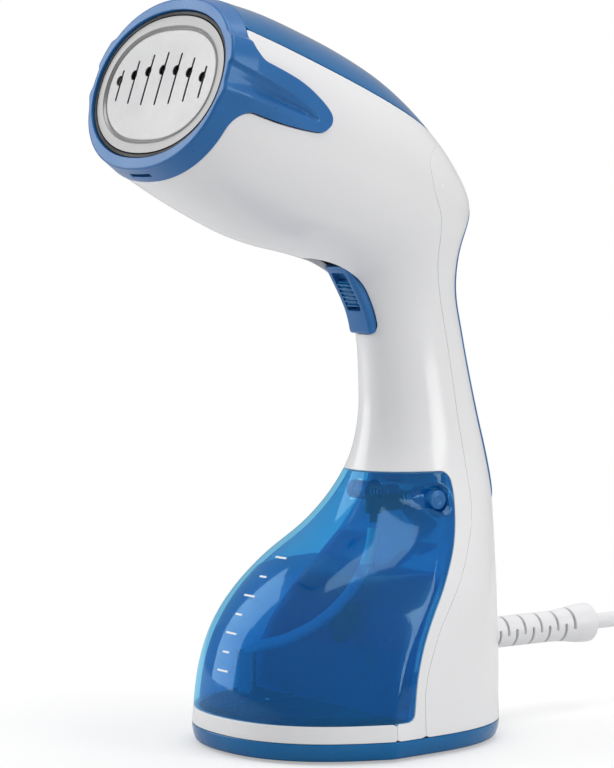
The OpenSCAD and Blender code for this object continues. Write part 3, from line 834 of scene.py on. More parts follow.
def metal(name, colour, rough=0.3, grain_scale=1500, grain=0.3, streak=None, wear_and_highlight=0.25):
    """Metal with blasted, cast or brushed grain, oxide mottling, and edges made paler as polish and as a
    painted highlight.
    """
    m, t = blank(name)
    where = place_coords(t)
    if streak:
        where = node(t, "Mapping", {"Vector": where, "Scale": streak}).outputs["Vector"]
    fine = noise(t, grain_scale, 3, 0.6, where)
    cloud = noise(t, 45, 4)
    base = mixed(t, ramp(t, cloud, 0.3, 0.7), tint(colour, 0.9), tint(colour, 1.06))
    # paler convex edges: partly polish, partly a painted highlight
    base = mixed(t, ramp(t, edge_wear_and_highlight(t), 0, 1, 0, wear_and_highlight), base, tint(colour, 1.3))
    gloss = ramp(t, fine, 0.3, 0.7, rough * 0.8, rough * 1.3)
    inputs = {"Base Color": base, "Metallic": 1.0, "Roughness": gloss,
              "Normal": bumps(t, (fine, 0.00003, grain), (cloud, 0.0002, 0.08))}
    surface_out(t, node(t, "BsdfPrincipled", inputs))
    return m


def blasted_plate(name):
    """Blasted steel with a polished rim; the walls of its slots and steam holes are painted dark as shade.
    """
    m, t = blank(name)
    where = place_coords(t)
    rel = node(t, "VectorMath", {0: where, 1: Vector(NOZZLE * MM)}, operation="SUBTRACT").outputs["Vector"]
    level = node(t, "VectorMath", {0: rel, 1: Vector(NOZZLE_N)}, operation="DOT_PRODUCT").outputs["Value"]
    # painted shade: everything below the plate's face, the walls of the slots and steam holes, is marked
    # here
    deep = ramp(t, level, 9.4 * MM, 10.0 * MM, 1, 0)
    rim = ramp(t, level, 10.72 * MM, 10.8 * MM)
    fine = noise(t, 2200, 3, 0.6)
    cloud = noise(t, 40, 4)
    base = mixed(t, ramp(t, cloud, 0.3, 0.7), (0.31, 0.31, 0.315, 1), (0.35, 0.35, 0.35, 1))
    base = mixed(t, rim, base, (0.2, 0.2, 0.2, 1))
    # painted shade: slot and hole walls coloured near black
    base = mixed(t, deep, base, (0.03, 0.03, 0.032, 1))
    gloss = ramp(t, fine, 0.3, 0.7, 0.36, 0.5)
    gloss = node(t, "Mix", {"Factor": rim, 2: gloss, 3: 0.3})
    inputs = {"Base Color": base, "Metallic": 1.0, "Roughness": gloss,
              "Normal": bumps(t, (fine, 0.00003, 0.45), (cloud, 0.0002, 0.05))}
    surface_out(t, node(t, "BsdfPrincipled", inputs))
    return m


def tinted_clear(name, colour, body, clear=0.6, rough=0.06, grain=0.1):
    """Tinted clear plastic: part of the light passes through the tint, the rest scatters."""
    m, t = blank(name)
    cloud = ramp(t, noise(t, 30, 3), 0.3, 0.7, 0.92, 1.06)
    through = node(t, "BsdfTransparent", {"Color": tint(colour, 1)})
    glow = mixed(t, ramp(t, noise(t, 14, 2), 0.3, 0.7), tint(body, 0.88), tint(body, 1.12))
    dull = node(t, "BsdfDiffuse", {"Color": glow})
    share = node(t, "Math", {0: cloud, 1: 1 - clear}, operation="MULTIPLY")
    inner = node(t, "MixShader", {"Fac": share, 1: through, 2: dull})
    normal = bumps(t, (noise(t, 120, 2), 0.00012, 0.12), (noise(t, 1500, 2), 0.00002, grain))
    shine = node(t, "BsdfGlossy", {"Color": (0.55, 0.84, 1, 1), "Roughness": rough, "Normal": normal})
    facing = node(t, "Fresnel", {"IOR": 1.5, "Normal": normal})
    back = node(t, "NewGeometry").outputs["Backfacing"]
    outside = node(t, "Math", {0: facing, 1: back}, operation="SUBTRACT", use_clamp=True)
    glossed = node(t, "MixShader", {"Fac": outside, 1: inner, 2: shine})
    surface_out(t, glossed)
    return m


WHITE = (0.80, 0.80, 0.81)
BLUE = (0.018, 0.125, 0.36)
DEEP_BLUE = (0.001, 0.115, 0.32)

MATERIALS = {
    "white_plastic": moulded("white_plastic", WHITE, 0.22, 0.012, 0.12, coat=0.25, wear_and_highlight=0.3),
    "blue_plastic": moulded("blue_plastic", BLUE, 0.32, 0.06, 0.35, coat=0.2, wear_and_highlight=0.2, glint=BLUE_GLINT),
    "deep_blue_plastic": moulded("deep_blue_plastic", DEEP_BLUE, 0.16, 0.05, 0.1, coat=0.2, wear_and_highlight=0.15,
                                 glint=BLUE_GLINT),
    "tank_plastic": tinted_clear("tank_plastic", (0.44, 0.81, 0.97), (0.002, 0.24, 0.62), 0.84),
    "steel_plate": blasted_plate("steel_plate"),
    "steel_part": metal("steel_part", (0.60, 0.60, 0.62), 0.28, 900, 0.25, (1, 1, 6)),
    "heater_casting": metal("heater_casting", (0.66, 0.66, 0.68), 0.5, 700, 0.9),
    "seal_rubber": moulded("seal_rubber", (0.012, 0.012, 0.014), 0.55, 0.2, 0.6, wear_and_highlight=0.3),
    "silicone": moulded("silicone", (0.72, 0.73, 0.70), 0.4, 0.04, 0.3, subsurface=0.3),
    "tube_silicone": moulded("tube_silicone", (0.60, 0.95, 1.0), 0.3, 0.06, 0.2, subsurface=0.2),
    "dark_plastic": moulded("dark_plastic", (0.030, 0.031, 0.035), 0.5, 0.15, 0.7),
    "grey_plastic": moulded("grey_plastic", (0.50, 0.52, 0.56), 0.45, 0.04, 0.6),
    "coil_copper": metal("coil_copper", (0.70, 0.28, 0.10), 0.35, 1400, 0.5, (0.2, 0.2, 8)),
    "element_sheath": metal("element_sheath", (0.20, 0.17, 0.15), 0.5, 900, 0.6),
    "circuit_board": moulded("circuit_board", (0.02, 0.16, 0.06), 0.3, 0.12, 0.5, coat=0.3),
    "wire_sleeve": moulded("wire_sleeve", (0.40, 0.03, 0.025), 0.45, 0.08, 0.3),
    "cord_pvc": moulded("cord_pvc", (0.78, 0.78, 0.79), 0.38, 0.02, 0.45, wear_and_highlight=0.2, subsurface=0.1),
    "print_white": moulded("print_white", (0.86, 0.88, 0.90), 0.5, 0.02, 0.5, wear_and_highlight=0),
    "wire_blue": moulded("wire_blue", (0.03, 0.12, 0.5), 0.4, 0.1, 0.3),
    "wire_brown": moulded("wire_brown", (0.12, 0.045, 0.02), 0.4, 0.1, 0.3),
    "wire_green": moulded("wire_green", (0.15, 0.35, 0.04), 0.4, 0.1, 0.3),
}
WATER = tinted_clear("water", (0.40, 0.66, 0.90), (0.002, 0.075, 0.28), 0.84, 0.25, 0.0)
TANK_PANEL = tinted_clear("tank_panel", (0.40, 0.74, 0.96), (0.01, 0.20, 0.56), 0.5)

# ---- Housing -----------------------------------------------------------------------------

FINE = 1    # grid density
BODY_STEP = 1.25 / FINE
BODY_W = around(int(300 * FINE))
BODY_S = steps(-3, S_END + 8, BODY_STEP)
SEAM = 0.07           # half the hairline between front and rear shell
CORD_HOLE_R = 6.0


def front_shell():
    """Head, handle front and the strips beside the tank, in front of the seam."""
    def region(p):
        band = both(p[:, 1] - CREASE_Y - TRIM, p[:, 2] - BAND_TOP - TRIM)
        return all_of(beyond_line(seam_y, p) + SEAM, above_cover(p) + GAP / 2, BASE_TOP + TRIM - p[:, 2],
                      -tank_window(p), -band, WING_GAP - wing(p), -trigger_window(p))
    o = shell("front_shell_skin", body_point, BODY_S, BODY_W, region, lip=0.25)
    place(o, "housing", "front_shell", "white_plastic")


def rear_shell():
    """Back of the body behind the seam, open for the cord and under the grip panel."""
    def region(p):
        cord_hole = CORD_HOLE_R - np.hypot(p[:, 0], p[:, 2] - CORD_Z)
        return all_of(SEAM - beyond_line(seam_y, p), above_cover(p) + GAP / 2, BASE_TOP + TRIM - p[:, 2],
                      np.where(p[:, 1] > 50, cord_hole, -1e3), 0.2 - grip(p))
    rows = steps(-3, S_END * 0.9, BODY_STEP)
    o = shell("rear_shell_skin", body_point, rows, BODY_W, region, lip=0.25)
    place(o, "housing", "rear_shell", "white_plastic")


def rear_grip():
    """Waisted panel that stands a little off the back of the handle."""
    rows = steps(s_at(82), s_at(236), 1.2 / FINE)
    o = shell("rear_grip_pad", offset_surface(body_point, 0.6), rows, BODY_W, grip, wall=2.0, lip=0.6)
    place(o, "housing", "rear_grip", "blue_plastic")


def top_cover():
    """Glossy cover over the head, down to its straight edge and up to the ring."""
    def region(p):
        return np.maximum(GAP / 2 - above_cover(p), WING_GAP - wing(p))
    rows = steps(S_END * 0.62, S_END + 6, 1.2 / FINE)
    o = shell("top_cover_skin", body_point, rows, BODY_W, region, lip=0.35)
    place(o, "housing", "top_cover", "deep_blue_plastic")


def trim_band():
    """White band round the front of the foot, as far back as the crease."""
    def region(p):
        return all_of(BASE_TOP + TRIM - p[:, 2], p[:, 2] - BAND_TOP + TRIM, p[:, 1] - CREASE_Y + 2 * TRIM)
    o = shell("trim_band_skin", body_point, steps(2, 22, 0.7), around(int(360 * FINE)), region, lip=0.3)
    place(o, "housing", "trim_band", "white_plastic")


FOOT_ROUND = 1.5
RIM_ROUND = 0.4
TRAY_FLOOR = 3.6
SCREWS = ((38, -26), (-38, -26), (41.5, 34), (-41.5, 34))
SCREW_HOLE = [(0, 3.3), (2.2, 3.3), (2.2, 1.7), (9, 1.7)]
PADS = ((-26, -42), (-26, 42), (26, -42), (26, 42))
PAD_RECESS = [(0, 6.15), (2.1, 6.15)]


def base_tray():
    """The tray under the body: rounded underside edge, rim, floor, screw and pad recesses."""
    w = around(288)
    top = BASE_TOP - 0.1

    def outline(z):
        return body_point(np.full(len(w), z - FLOOR_GAP), w)

    def level(ring, z, inset):
        """The ring moved to height z and inwards by inset."""
        centre = ring.mean(0)
        flat = ring - centre
        reach = np.linalg.norm(flat[:, :2], axis=1, keepdims=True)
        out = centre + flat * (1 - inset / reach)
        out[:, 2] = z
        return out

    foot = outline(2.2)
    rings = [level(foot, FLOOR_GAP, d) for d in (40, 20, 8, 2.4)]
    for a in np.radians([22, 45, 68, 90]):
        rings.append(level(foot, FLOOR_GAP + FOOT_ROUND * (1 - math.cos(a)),
                           FOOT_ROUND * (1 - math.sin(a)) + RIM_ROUND * math.cos(a)))
    for z in (4, 6, top - RIM_ROUND):
        rings.append(level(outline(z), z, 0))
    rim = outline(top)
    for a in np.radians([30, 60, 90]):
        rings.append(level(rim, top - RIM_ROUND * (1 - math.sin(a)), RIM_ROUND * (1 - math.cos(a))))
    rings.append(level(rim, top, WALL - RIM_ROUND))
    rings.append(level(rim, top - RIM_ROUND, WALL))
    rings.append(level(rim, TRAY_FLOOR, WALL))
    rings += [level(rim, TRAY_FLOOR, d) for d in (8, 20, 40)]
    o = lofted("base_tray", rings)
    cutters = [revolved("cut", SCREW_HOLE, (x, y, 0), (0, 0, 1), 40) for x, y in SCREWS]
    cutters += [revolved("cut", PAD_RECESS, (x, y, 0), (0, 0, 1), 48) for x, y in PADS]
    carve(o, cutters)
    place(o, "housing", "base_plate", "deep_blue_plastic")


# ---- Nozzle ------------------------------------------------------------------------------

RING_PROUD = 0.8      # the wings stand this far off the housing
RING_ROUND = 1.3
RING_E = 2.2
MOUTH_ROUND = 0.4
FACE_A, FACE_B = 47.0, 35.3
MOUTH_A, MOUTH_B = PLATE_A + 2.2, PLATE_B + 2.2
EAR = 1.8             # the ring's shoulders stand out this much where the wings leave it
# Outline of the finger groove: distance behind the ring's rear plane, height
GROOVE = spline_loop([(-18, 10.2), (-8, 8.4), (6, 6.9), (18, 5.9), (28, 4.4), (34, 2.2), (35.2, 0.2),
                      (33, -1.2), (26, -1.8), (14, -2.4), (0, -2.9), (-18, -3.3)])
GROOVE_DEEP = 3.3


def ring_profile():
    """Rows u, a, b, exponent, n of the ring's section, from its rear plane round to its mouth."""
    rear_a, rear_b = S_ROWS[-1, 4] + RING_PROUD, 38.6 + RING_PROUD
    start = RING_DEPTH - RING_ROUND
    share = start / RING_DEPTH
    side_a, side_b = rear_a + (FACE_A - rear_a) * share, rear_b + (FACE_B - rear_b) * share
    rows = [(0, rear_a, rear_b, RING_E, 0), (start, side_a, side_b, RING_E, start)]
    u = start
    for t in np.radians(np.linspace(0, 90, 13))[1:]:
        inset = RING_ROUND * (1 - math.cos(t))
        rows.append((u + RING_ROUND * t, side_a - inset, side_b - inset, RING_E,
                     start + RING_ROUND * math.sin(t)))
    u = rows[-1][0]
    rows.append((u + 4, MOUTH_A + MOUTH_ROUND, MOUTH_B + MOUTH_ROUND, PLATE_E, RING_DEPTH))
    for t in np.radians(np.linspace(0, 90, 7))[1:]:
        out = MOUTH_ROUND * (1 - math.sin(t))
        rows.append((u + 4 + MOUTH_ROUND * t, MOUTH_A + out, MOUTH_B + out, PLATE_E,
                     RING_DEPTH - MOUTH_ROUND * (1 - math.cos(t))))
    rows.append((rows[-1][0] + 6.6, MOUTH_A, MOUTH_B, PLATE_E, 5.0))
    return np.array(rows), u


RING_ROWS, RING_FACE_U = ring_profile()


def ring_relief(v, d):
    """How far the ring's side stands out at height v and distance d behind its rear plane."""
    ear = smooth((v + 10) / 8) * (1 - smooth((v - 18.9) / 1.5))
    rise = EAR * ear * (0.15 + 0.85 * smooth((46 - d) / 46))
    inside = -loop_distance(GROOVE, d, v)
    upper = smooth((v - 3.2 + 0.03 * d) / 4)
    scoop = smooth(inside / (5.0 - 2.6 * upper))
    return rise - GROOVE_DEEP * (0.4 + 0.6 * smooth((d + 12) / 24)) * scoop


RING_U = np.linspace(0, RING_ROWS[-1, 0], 1200)
RING_FINE = np.stack([np.interp(RING_U, RING_ROWS[:, 0], RING_ROWS[:, c]) for c in (1, 2, 3, 4)], 1)


def ring_point(u, w):
    """Ring and wings as one surface: along the body for u < 0, then the ring's own section."""
    back = offset_surface(body_point, RING_PROUD)(S_END + np.minimum(u, 0), w)
    row = stretched(RING_U, RING_FINE, np.maximum(u, 0))
    a = np.radians(w)
    power = 2 / row[:, 2]
    x, v = row[:, 0] * signed_pow(np.cos(a), power), row[:, 1] * signed_pow(np.sin(a), power)
    front = nozzle_point(x, v, row[:, 3])
    p = np.where((u < 0)[:, None], back, front)
    x, v, n = nozzle_coords(p)
    inward = 1 - smooth((u - RING_FACE_U) / 4)
    p[:, 0] += np.sign(x) * smooth((np.abs(x) - 30) / 6) * inward * ring_relief(v, -n)
    return p


CLIP_HALF_W, CLIP_HALF_H = 7, 0.9
CLIP_AT = 7.4


def nozzle_ring():
    """Ring and wings in one shell, with the clip slot for accessories under its chin."""
    def region(p):
        x, v, n = nozzle_coords(p)
        slot = both(both(np.abs(x) - CLIP_HALF_W, np.abs(n - CLIP_AT) - CLIP_HALF_H, 0.5), v + 20)
        return np.maximum(wing(p), -slot)
    rows = np.concatenate([steps(-47, -0.8, 0.65 / FINE), steps(0, RING_DEPTH - RING_ROUND, 0.8),
                           np.linspace(RING_DEPTH - RING_ROUND, RING_FACE_U, 6)[1:],
                           RING_FACE_U + np.array([1, 2, 3, 4, 4.3, 4.63]),
                           RING_ROWS[-1, 0] - np.array([3.3, 0])])
    inner = int(np.argmin(np.abs(rows - 5)))
    o = shell("nozzle_ring_skin", ring_point, rows, around(int(480 * FINE)), region, wall=2.2, lip=0.45,
              inner_rows=inner)
    place(o, "housing", "nozzle_ring", "blue_plastic")


def oval_ring(name, profile, e=PLATE_E, count=160):
    """Closed ring whose section is (distance outside the plate's outline, n)."""
    a = np.radians(around(count))
    rings = []
    for out, n in profile:
        x = (PLATE_A + out) * signed_pow(np.cos(a), 2 / e)
        v = (PLATE_B + out) * signed_pow(np.sin(a), 2 / e)
        rings.append(nozzle_point(x, v, np.full(count, n)))
    return lofted(name, rings, closed=True, sharp=60)


SEAL_IN, SEAL_OUT = 0.3, 2.0
SEAL_BACK, SEAL_FRONT = 6.2, 10.5
SEAL_CROWN = 0.5


def plate_seal():
    """Black lip between the plate and the ring, with a rounded front."""
    middle, half = (SEAL_IN + SEAL_OUT) / 2, (SEAL_OUT - SEAL_IN) / 2
    crown = [(middle - half * math.cos(t), SEAL_FRONT + SEAL_CROWN * math.sin(t))
             for t in np.radians([30, 60, 90, 120, 150])]
    profile = [(SEAL_IN, SEAL_BACK), (SEAL_IN, SEAL_FRONT)] + crown
    profile += [(SEAL_OUT, SEAL_FRONT), (SEAL_OUT, SEAL_BACK)]
    o = oval_ring("plate_seal_lip", profile[::-1])
    place(o, "housing", "plate_seal", "seal_rubber")


SLOT_PITCH = 9.8
SLOT_R = 0.5
HOLE_R = 2.0
HOLE_ASIDE = 1.2
PLATE_FACE = 10.45
PLATE_RIM = 4.4
GROOVE_DIP = 0.7


def slot_middle(k):
    """Height of a slot's middle, k slots from the plate's middle."""
    return 2.5 - 2.2 * (k / 3) ** 2


def slot_length(k):
    return 22 - 9 * (k / 3) ** 2


def plate_height(x, v):
    """Polished raised rim, a narrow groove inside it and a slightly crowned middle."""
    d = -oval_distance(x, v, PLATE_A, PLATE_B)
    rim = 0.55 * (1 - smooth((d - 3.9) / 0.9)) - 0.1 * ((np.minimum(d, 4) - 2) / 2) ** 2
    dip = GROOVE_DIP * np.exp(-((d - PLATE_RIM - 0.7) / 0.55) ** 2)
    return PLATE_FACE + rim + 0.2 * smooth((d - 6) / 20) - dip


def steam_plate():
    """Pressed plate with seven slots, each with a steam hole beside it."""
    def surface(u, w):
        return nozzle_point(w, u, plate_height(w, u))

    def region(p):
        x, v, _ = nozzle_coords(p)
        f = oval_distance(x, v, PLATE_A, PLATE_B)
        for k in range(-3, 4):
            dx = np.abs(x - k * SLOT_PITCH)
            dv = np.maximum(np.abs(v - slot_middle(k)) - slot_length(k) / 2 + 0.45, 0)
            slit = np.hypot(dx, dv) - SLOT_R
            hole = np.hypot(x - k * SLOT_PITCH + HOLE_ASIDE,
                            v - slot_middle(k) - slot_length(k) / 6) - HOLE_R
            f = np.maximum(f, -np.minimum(slit, hole))
        return f
    step = 0.3 / FINE
    o = shell("steam_plate_face", surface, steps(-29.5, 29.5, step), steps(-43.5, 43.5, step), region,
              wall=1.4, lip=0.18, wrap=False)
    place(o, "housing", "steam_plate", "steel_plate")


# ---- Cord --------------------------------------------------------------------------------

GUARD_START = 68.5
GUARD_END = GUARD_HI[1]
GUARD_R = 6.7
GUARD_BELL = 1.8      # added to the radius at the bell end
GUARD_SLOTS = 11
GUARD_PITCH = 4.6
SLOT_HALF = 0.6
SLOT_CORE = 1.5       # how far each half slot reaches past the cord's axis


def cord_guard():
    """Strain relief: slender sleeve with a bell end and half slots from alternate sides."""
    def radius(y):
        flare = smooth((y - GUARD_START - 38) / (GUARD_END - GUARD_START - 40))
        return GUARD_R + GUARD_BELL * flare**1.6

    def surface(u, w):
        a = np.radians(w)
        r = radius(u)
        return np.stack([r * np.cos(a), u, CORD_Z - r * np.sin(a)], 1)

    def region(p):
        y = p[:, 1] - GUARD_START
        f = np.maximum(-y + 0.2, p[:, 1] - GUARD_END)
        for k in range(GUARD_SLOTS):
            across = np.abs(y - 5.6 - GUARD_PITCH * k) - SLOT_HALF
            reach = p[:, 2] - CORD_Z if k % 2 == 0 else CORD_Z - p[:, 2]
            f = np.maximum(f, -both(across, -SLOT_CORE - reach, 0.5))
        return f
    rows = steps(GUARD_START - 1, GUARD_END + 1, 0.35)
    o = shell("cord_guard_sleeve", surface, rows, around(120), region, wall=2.1, lip=0.3)
    place(o, "housing", "cord_guard", "cord_pvc")


CORD_R = 3.4
CORD_CUT = CORD_HI[1] - 4.0


def cord_core(name, x, z, profile, material, count):
    """One of the wires or conductors that stick out of the cut cord."""
    o = revolved(name, [(CORD_CUT + h, r) for h, r in profile], (x, 0, z), (0, 1, 0), count)
    finish(o, "housing", MATERIALS[material])


def power_cord():
    """Short stub of cord, cut off to show its three wires."""
    inner_r = CORD_R - 0.25
    profile = [(GUARD_START + 8, inner_r), (GUARD_END - 0.3, inner_r), (GUARD_END, CORD_R)]
    profile += [(y, CORD_R) for y in (GUARD_END + 8, GUARD_END + 16, GUARD_END + 24)]
    profile += arc((CORD_CUT - 0.35, CORD_R - 0.35), 0.35, 80, 0, 4)
    jacket = revolved("power_cord_jacket", profile, (0, 0, CORD_Z), (0, 1, 0), 48)
    place(jacket, "housing", "power_cord", "cord_pvc")
    for k, colour in enumerate(("wire_blue", "wire_brown", "wire_green")):
        a = math.radians(90 + 120 * k)
        x, z = 1.5 * math.cos(a), CORD_Z + 1.5 * math.sin(a)
        cord_core(f"cord_wire_{k + 1}", x, z, [(-1, 0.9), (2.2, 0.9), (2.35, 0.75)],
                  colour, 24)
        cord_core(f"cord_core_{k + 1}", x, z, [(1, 0.5), (3.8, 0.5), (4, 0.3)],
                  "coil_copper", 16)


# ---- Trigger -----------------------------------------------------------------------------

FACE_TILT = math.radians(119.5)
FACE_UP = np.array([0, math.cos(FACE_TILT), math.sin(FACE_TILT)])
FACE_OUT = np.array([0, -math.sin(FACE_TILT), math.cos(FACE_TILT)])
FACE_AT = np.array([0, 1.1, 185.2])


def on_face(x, up, out):
    """Points in the trigger's front-face frame."""
    return tilted_point(FACE_AT, FACE_UP, FACE_OUT, x, up, out)


TRIGGER_LOOP = spline_loop([
    (-4.9, 195.2), (-3.6, 192.8), (-1.2, 188.8), (1.1, 184.9), (3.4, 180.8), (5.4, 176.4),
    (6.8, 172), (7.8, 168.3), (9.8, 167.9), (11.4, 169.4), (12, 176), (12.4, 184),
    (12.4, 191.5), (11, 194.6), (6, 195.4), (0.5, 195.8), (-3.2, 196.4)], 4)


def trigger():
    """Curved lever with a window in its face for the slider."""
    def across(loop, x):
        return np.stack([np.full(len(loop), x), loop[:, 0], loop[:, 1]], 1)

    def through(loop, h):
        return on_face(loop[:, 0], loop[:, 1], np.full(len(loop), h + 0.4))
    o = slab("trigger_lever", TRIGGER_LOOP, 7.5, 1.5, across)
    carve(o, [slab("cut", rounded_box_loop(4.6, 9, 1.2), 3.0, 0.2, through)])
    place(o, "trigger", "trigger", "blue_plastic")


def lock_slider():
    """Ribbed thumb slider in the trigger's window."""
    valley, crest, back = -0.45, 0.95, -2.3
    up = np.linspace(-7.4, 4.4, 96)
    ribs = valley + crest * smooth(1.35 * np.cos((up + 6.5) * math.pi)) * (up < 4.1) * (up > -7.1)
    loop = np.concatenate([np.stack([up, ribs], 1), [[4.4, back], [-7.4, back]]])
    low = loop.copy()
    low[:, 1] = np.minimum(low[:, 1], valley)
    sections = ((low, -4.25), (low, -4.0), (loop, -3.8), (loop, 3.8), (low, 4.0), (low, 4.25))
    rings = [on_face(np.full(len(outline), x), outline[:, 0], outline[:, 1]) for outline, x in sections]
    o = lofted("trigger_lock_slider", rings, sharp=50)
    place(o, "lock_slider", "trigger_lock", "deep_blue_plastic")


# ---- Tank --------------------------------------------------------------------------------

SCOOP_LENGTH = 13.0
SCOOP_DEPTH = 3.4
SCOOP_R, SCOOP_TAPER = 7.2, 4.2
SCOOP_SLOPE = 4.5


def tank_side(s, w):
    """The body's surface with the teardrop finger scoop in front of each release button."""
    p = body_point(s, w)
    along = np.clip((BUTTON_Y - p[:, 1]) / SCOOP_LENGTH, 0, 1)
    away = np.hypot(p[:, 1] - (BUTTON_Y - along * SCOOP_LENGTH),
                    p[:, 2] - BUTTON_Z - 0.1 * along * SCOOP_LENGTH)
    edge = away - (SCOOP_R - SCOOP_TAPER * along)
    deep = smooth(-edge / SCOOP_SLOPE) * (1 - 0.6 * along) * SCOOP_DEPTH * smooth((p[:, 2] - 80) / 6)
    p[:, 0] -= np.sign(p[:, 0]) * deep * (np.abs(p[:, 0]) > 12)
    return p


def tank_shell():
    """Clear tank wall with its scoops and a hole on each side for its button."""
    def region(p):
        hole = BUTTON_R + 0.35 - np.hypot(p[:, 1] - BUTTON_Y, p[:, 2] - BUTTON_Z)
        return np.maximum(tank_window(p) + GAP, hole)
    rows = steps(s_at(BAND_TOP) - 2, s_at(TANK_TOP) + 6, 1.1 / FINE)
    o = shell("tank_wall", tank_side, rows, around(int(330 * FINE)), region, wall=TANK_WALL, lip=0.45)
    place(o, "tank", "tank_shell", "tank_plastic")


WATER_TOP = 72.0
WATER_BACK = 3.2      # clear of the tank's back wall


def water_outline(z, pull):
    """Outline of the water at height z: the body's front, pulled in, closed by a straight back."""
    ring = offset_surface(body_point, -pull)(np.full(360, s_at(z)), around(360))
    ring[:, 2] = z
    back = float(tank_y(np.array([z]))[0][0]) - TANK_WALL - WATER_BACK
    front = np.roll(ring, -90, 0)
    front = front[front[:, 1] < back]
    front = front[np.argsort(np.unwrap(np.arctan2(front[:, 0], -front[:, 1])))]
    lengths = np.concatenate([[0], np.cumsum(np.linalg.norm(np.diff(front, axis=0), axis=1))])
    lengths /= lengths[-1]
    share = np.linspace(0, 1, 121)
    curve = np.stack([np.interp(share, lengths, front[:, c]) for c in range(3)], 1)
    curve[0, 1] = curve[-1, 1] = back
    t = np.linspace(0, 1, 41)[1:-1, None]
    return np.concatenate([curve, curve[-1] + t * (curve[0] - curve[-1])])


def tank_water():
    """The water in the tank, clear of its walls, with its first and last edges rounded off."""
    bottom = BAND_TOP + TANK_WALL
    levels = [bottom + 0.3, *steps(bottom + 1, WATER_TOP - 0.4, 2.5), WATER_TOP]
    pulls = [0.6] + [0] * (len(levels) - 2) + [0.3]
    o = lofted("tank_water", [water_outline(z, TANK_WALL + 0.25 + pull) for z, pull in zip(levels, pulls)],
               sharp=35)
    finish(o, "tank", WATER)


# Quarter ellipse that the hose follows from the elbow's mouth
HOSE_Y, HOSE_TOP = 15, 88.4
HOSE_REACH, HOSE_DROP = 60, 46
HOSE_R = 2.4


def suction_tube():
    """Soft hose from the outlet elbow down to the weighted filter."""
    t = np.radians(np.linspace(0, 90, 40))
    path = np.stack([0 * t, HOSE_Y - HOSE_REACH * (1 - np.cos(t)), HOSE_TOP - HOSE_DROP * np.sin(t)], 1)[1:]
    tail = [(0, -47.5, 40.2), (0, -49, 38.6), (0, -49.5, 36.6)]
    o = tube("suction_hose", np.concatenate([path, tail]), HOSE_R)
    place(o, "tank", "suction_tube", "tube_silicone")


TICKS = 7
TICK_LOW = 34
TICK_PITCH = 7.2


def level_marks():
    """Seven moulded and printed ticks up the front of the tank."""
    points, faces = [], []
    for k in range(TICKS):
        z, half = TICK_LOW + TICK_PITCH * k, 4 if k % 2 == 0 else 2.5
        s = s_at(z)
        row = stretched(S_TABLE, S_ROWS, np.array([s]))[0]
        x = np.linspace(-half, half, 17)
        share = signed_pow(x / row[4], row[6] / 2)
        w = -np.degrees(np.arccos(share))
        first = len(points)
        count = len(x)
        for out, dz in ((-0.05, -0.4), (0.1, -0.32), (0.1, 0.32), (-0.05, 0.4)):
            line = offset_surface(body_point, out)(np.full(count, s + dz), w)
            points.extend(line)
        for j in range(count - 1):
            for r in range(4):
                a, b = first + r * count + j, first + (r + 1) % 4 * count + j
                faces.append([a, a + 1, b + 1, b])
        faces.append([first + r * count for r in (0, 1, 2, 3)])
        faces.append([first + r * count + count - 1 for r in (3, 2, 1, 0)])
    o = new_object("level_ticks", points, faces)
    face_out(o.data)
    o.data.set_sharp_from_angle(angle=math.radians(40))
    place(o, "tank", "level_marks", "print_white")


def release_button(side, body, node):
    """Round push button with a domed end and a raised ring as its mark."""
    tip = BUTTON_HI[0]
    profile = [(15, FLANGE_R), (17, FLANGE_R), (17, BUTTON_R), (tip - 0.7, BUTTON_R)]
    profile += arc((tip - 0.7, BUTTON_R - 0.5), 0.5, 80, 10, 4)
    profile += [(tip - 0.18, 2.9), (tip - 0.16, 2.5), (tip - 0.02, 2.3), (tip, 2.1), (tip - 0.02, 1.9),
                (tip - 0.16, 1.7), (tip - 0.14, 0.6)]
    o = revolved(node + "_cap", profile, (0, BUTTON_Y, BUTTON_Z), (side, 0, 0), 64)
    place(o, body, node, "blue_plastic")


# ---- Build -------------------------------------------------------------------------------

for build in (front_shell, rear_shell, rear_grip, top_cover, trim_band, base_tray, nozzle_ring,
              plate_seal, steam_plate, cord_guard, power_cord, trigger, lock_slider, tank_shell,
              tank_water, suction_tube, level_marks):
    build()
release_button(1, "button_left", "release_button_left")
release_button(-1, "button_right", "release_button_right")

SLOT_OF = {part["node"]: part["material_slot"] for part in frame["record"]["subparts"]}
for name, o in frame["nodes"].items():
    o.data.materials.clear()
    o.data.materials.append(MATERIALS[SLOT_OF[name]])
    o.data.shade_smooth()
    o.data.set_sharp_from_angle(angle=math.radians(35))
frame["nodes"]["tank_back"].data.materials[0] = TANK_PANEL

# ---- Stage, light and camera -------------------------------------------------------------

FLOOR_PALE = 0.92
BOUNCE = 0.7


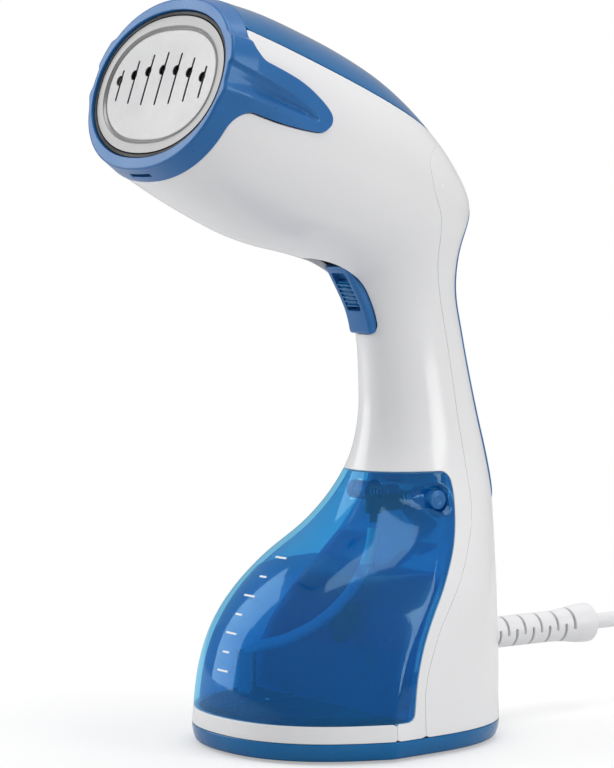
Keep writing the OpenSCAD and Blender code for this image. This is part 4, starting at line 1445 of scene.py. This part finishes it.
def floor():
    """Round pale floor that fades into the background's white."""
    m, t = blank("studio_floor")
    where = place_coords(t)
    far = node(t, "VectorMath", {0: where}, operation="LENGTH").outputs["Value"]
    fade = ramp(t, far, 0.1, 0.7, 0.4, 1.0)
    paper = ramp(t, noise(t, 300, 3), 0.3, 0.7, FLOOR_PALE - 0.01, FLOOR_PALE + 0.01)
    tone = node(t, "CombineColor", {0: paper, 1: paper, 2: paper})
    dull = node(t, "BsdfDiffuse", {"Color": tone})
    glow = node(t, "Emission", {"Color": (1, 1, 1, 1), "Strength": 1.0})
    shown = node(t, "MixShader", {"Fac": fade, 1: dull, 2: glow})
    bounce = node(t, "BsdfDiffuse", {"Color": (BOUNCE, BOUNCE, BOUNCE, 1)})
    eye = node(t, "LightPath").outputs["Is Camera Ray"]
    surface_out(t, node(t, "MixShader", {"Fac": eye, 1: bounce, 2: shown}))
    count = 96
    rings = [[(r * math.cos(a), r * math.sin(a), 0) for a in np.radians(around(count))]
             for r in (1, 200, 600, 1500, 4000)]
    points = np.array(rings).reshape(-1, 3)
    faces = [list(range(count))]
    for k in range(len(rings) - 1):
        inner, outer = k * count, (k + 1) * count
        for j in range(count):
            i = (j + 1) % count
            faces.append([inner + j, outer + j, outer + i, inner + i])
    o = new_object("floor", points, faces)
    o.data.materials.append(m)


def softbox(name, at, target, size, power):
    """Rectangular soft light at a place, turned to its target."""
    lamp = bpy.data.lights.new(name, "AREA")
    lamp.shape = "RECTANGLE"
    lamp.size, lamp.size_y = size
    lamp.energy = power
    o = bpy.data.objects.new(name, lamp)
    o.location = at
    o.rotation_euler = (Vector(target) - Vector(at)).to_track_quat("-Z", "Y").to_euler()
    bpy.context.scene.collection.objects.link(o)


def studio():
    """White for the camera, a soft grey room for reflections, and three soft boxes."""
    world = bpy.data.worlds.new("studio")
    world.use_nodes = True
    t = world.node_tree
    t.nodes.clear()
    up = node(t, "SeparateXYZ", {0: node(t, "TexCoord").outputs["Generated"]}).outputs["Z"]
    grey = ramp(t, up, -0.2, 0.9, 0.34, 0.62)
    room = node(t, "Background", {"Color": (1, 1, 1, 1), "Strength": grey})
    shown = node(t, "Background", {"Color": (1, 1, 1, 1), "Strength": 1.0})
    eye = node(t, "LightPath").outputs["Is Camera Ray"]
    mix = node(t, "MixShader", {"Fac": eye, 1: room, 2: shown})
    node(t, "OutputWorld", {"Surface": mix})
    bpy.context.scene.world = world
    bpy.context.scene.view_settings.view_transform = "Standard"
    aim = (0, -0.01, 0.15)
    softbox("tall", (-0.98, -0.78, 0.66), (0, -0.03, 0.2), (0.75, 1.7), 11)
    softbox("side", (1.5, 0.75, 0.7), aim, (0.6, 1.2), 9)
    softbox("top", (0.15, 0.2, 1.6), aim, (1.3, 1.0), 10)


# Camera place and aim in metres, lens in millimetres
EYE = Vector((1.0022, -0.7472, 0.232))
AIM = Vector((-0.0091, -0.0125, 0.1472))
LENS = 142.6


def camera():
    """Three-quarter view of the nozzle and one side, from a little above the middle."""
    data = bpy.data.cameras.new("camera")
    data.lens = LENS
    data.sensor_width = 36
    data.clip_start, data.clip_end = 0.05, 20
    o = bpy.data.objects.new("camera", data)
    o.location = EYE
    o.rotation_euler = (AIM - EYE).to_track_quat("-Z", "Y").to_euler()
    bpy.context.scene.collection.objects.link(o)
    bpy.context.scene.camera = o


floor()
studio()
camera()
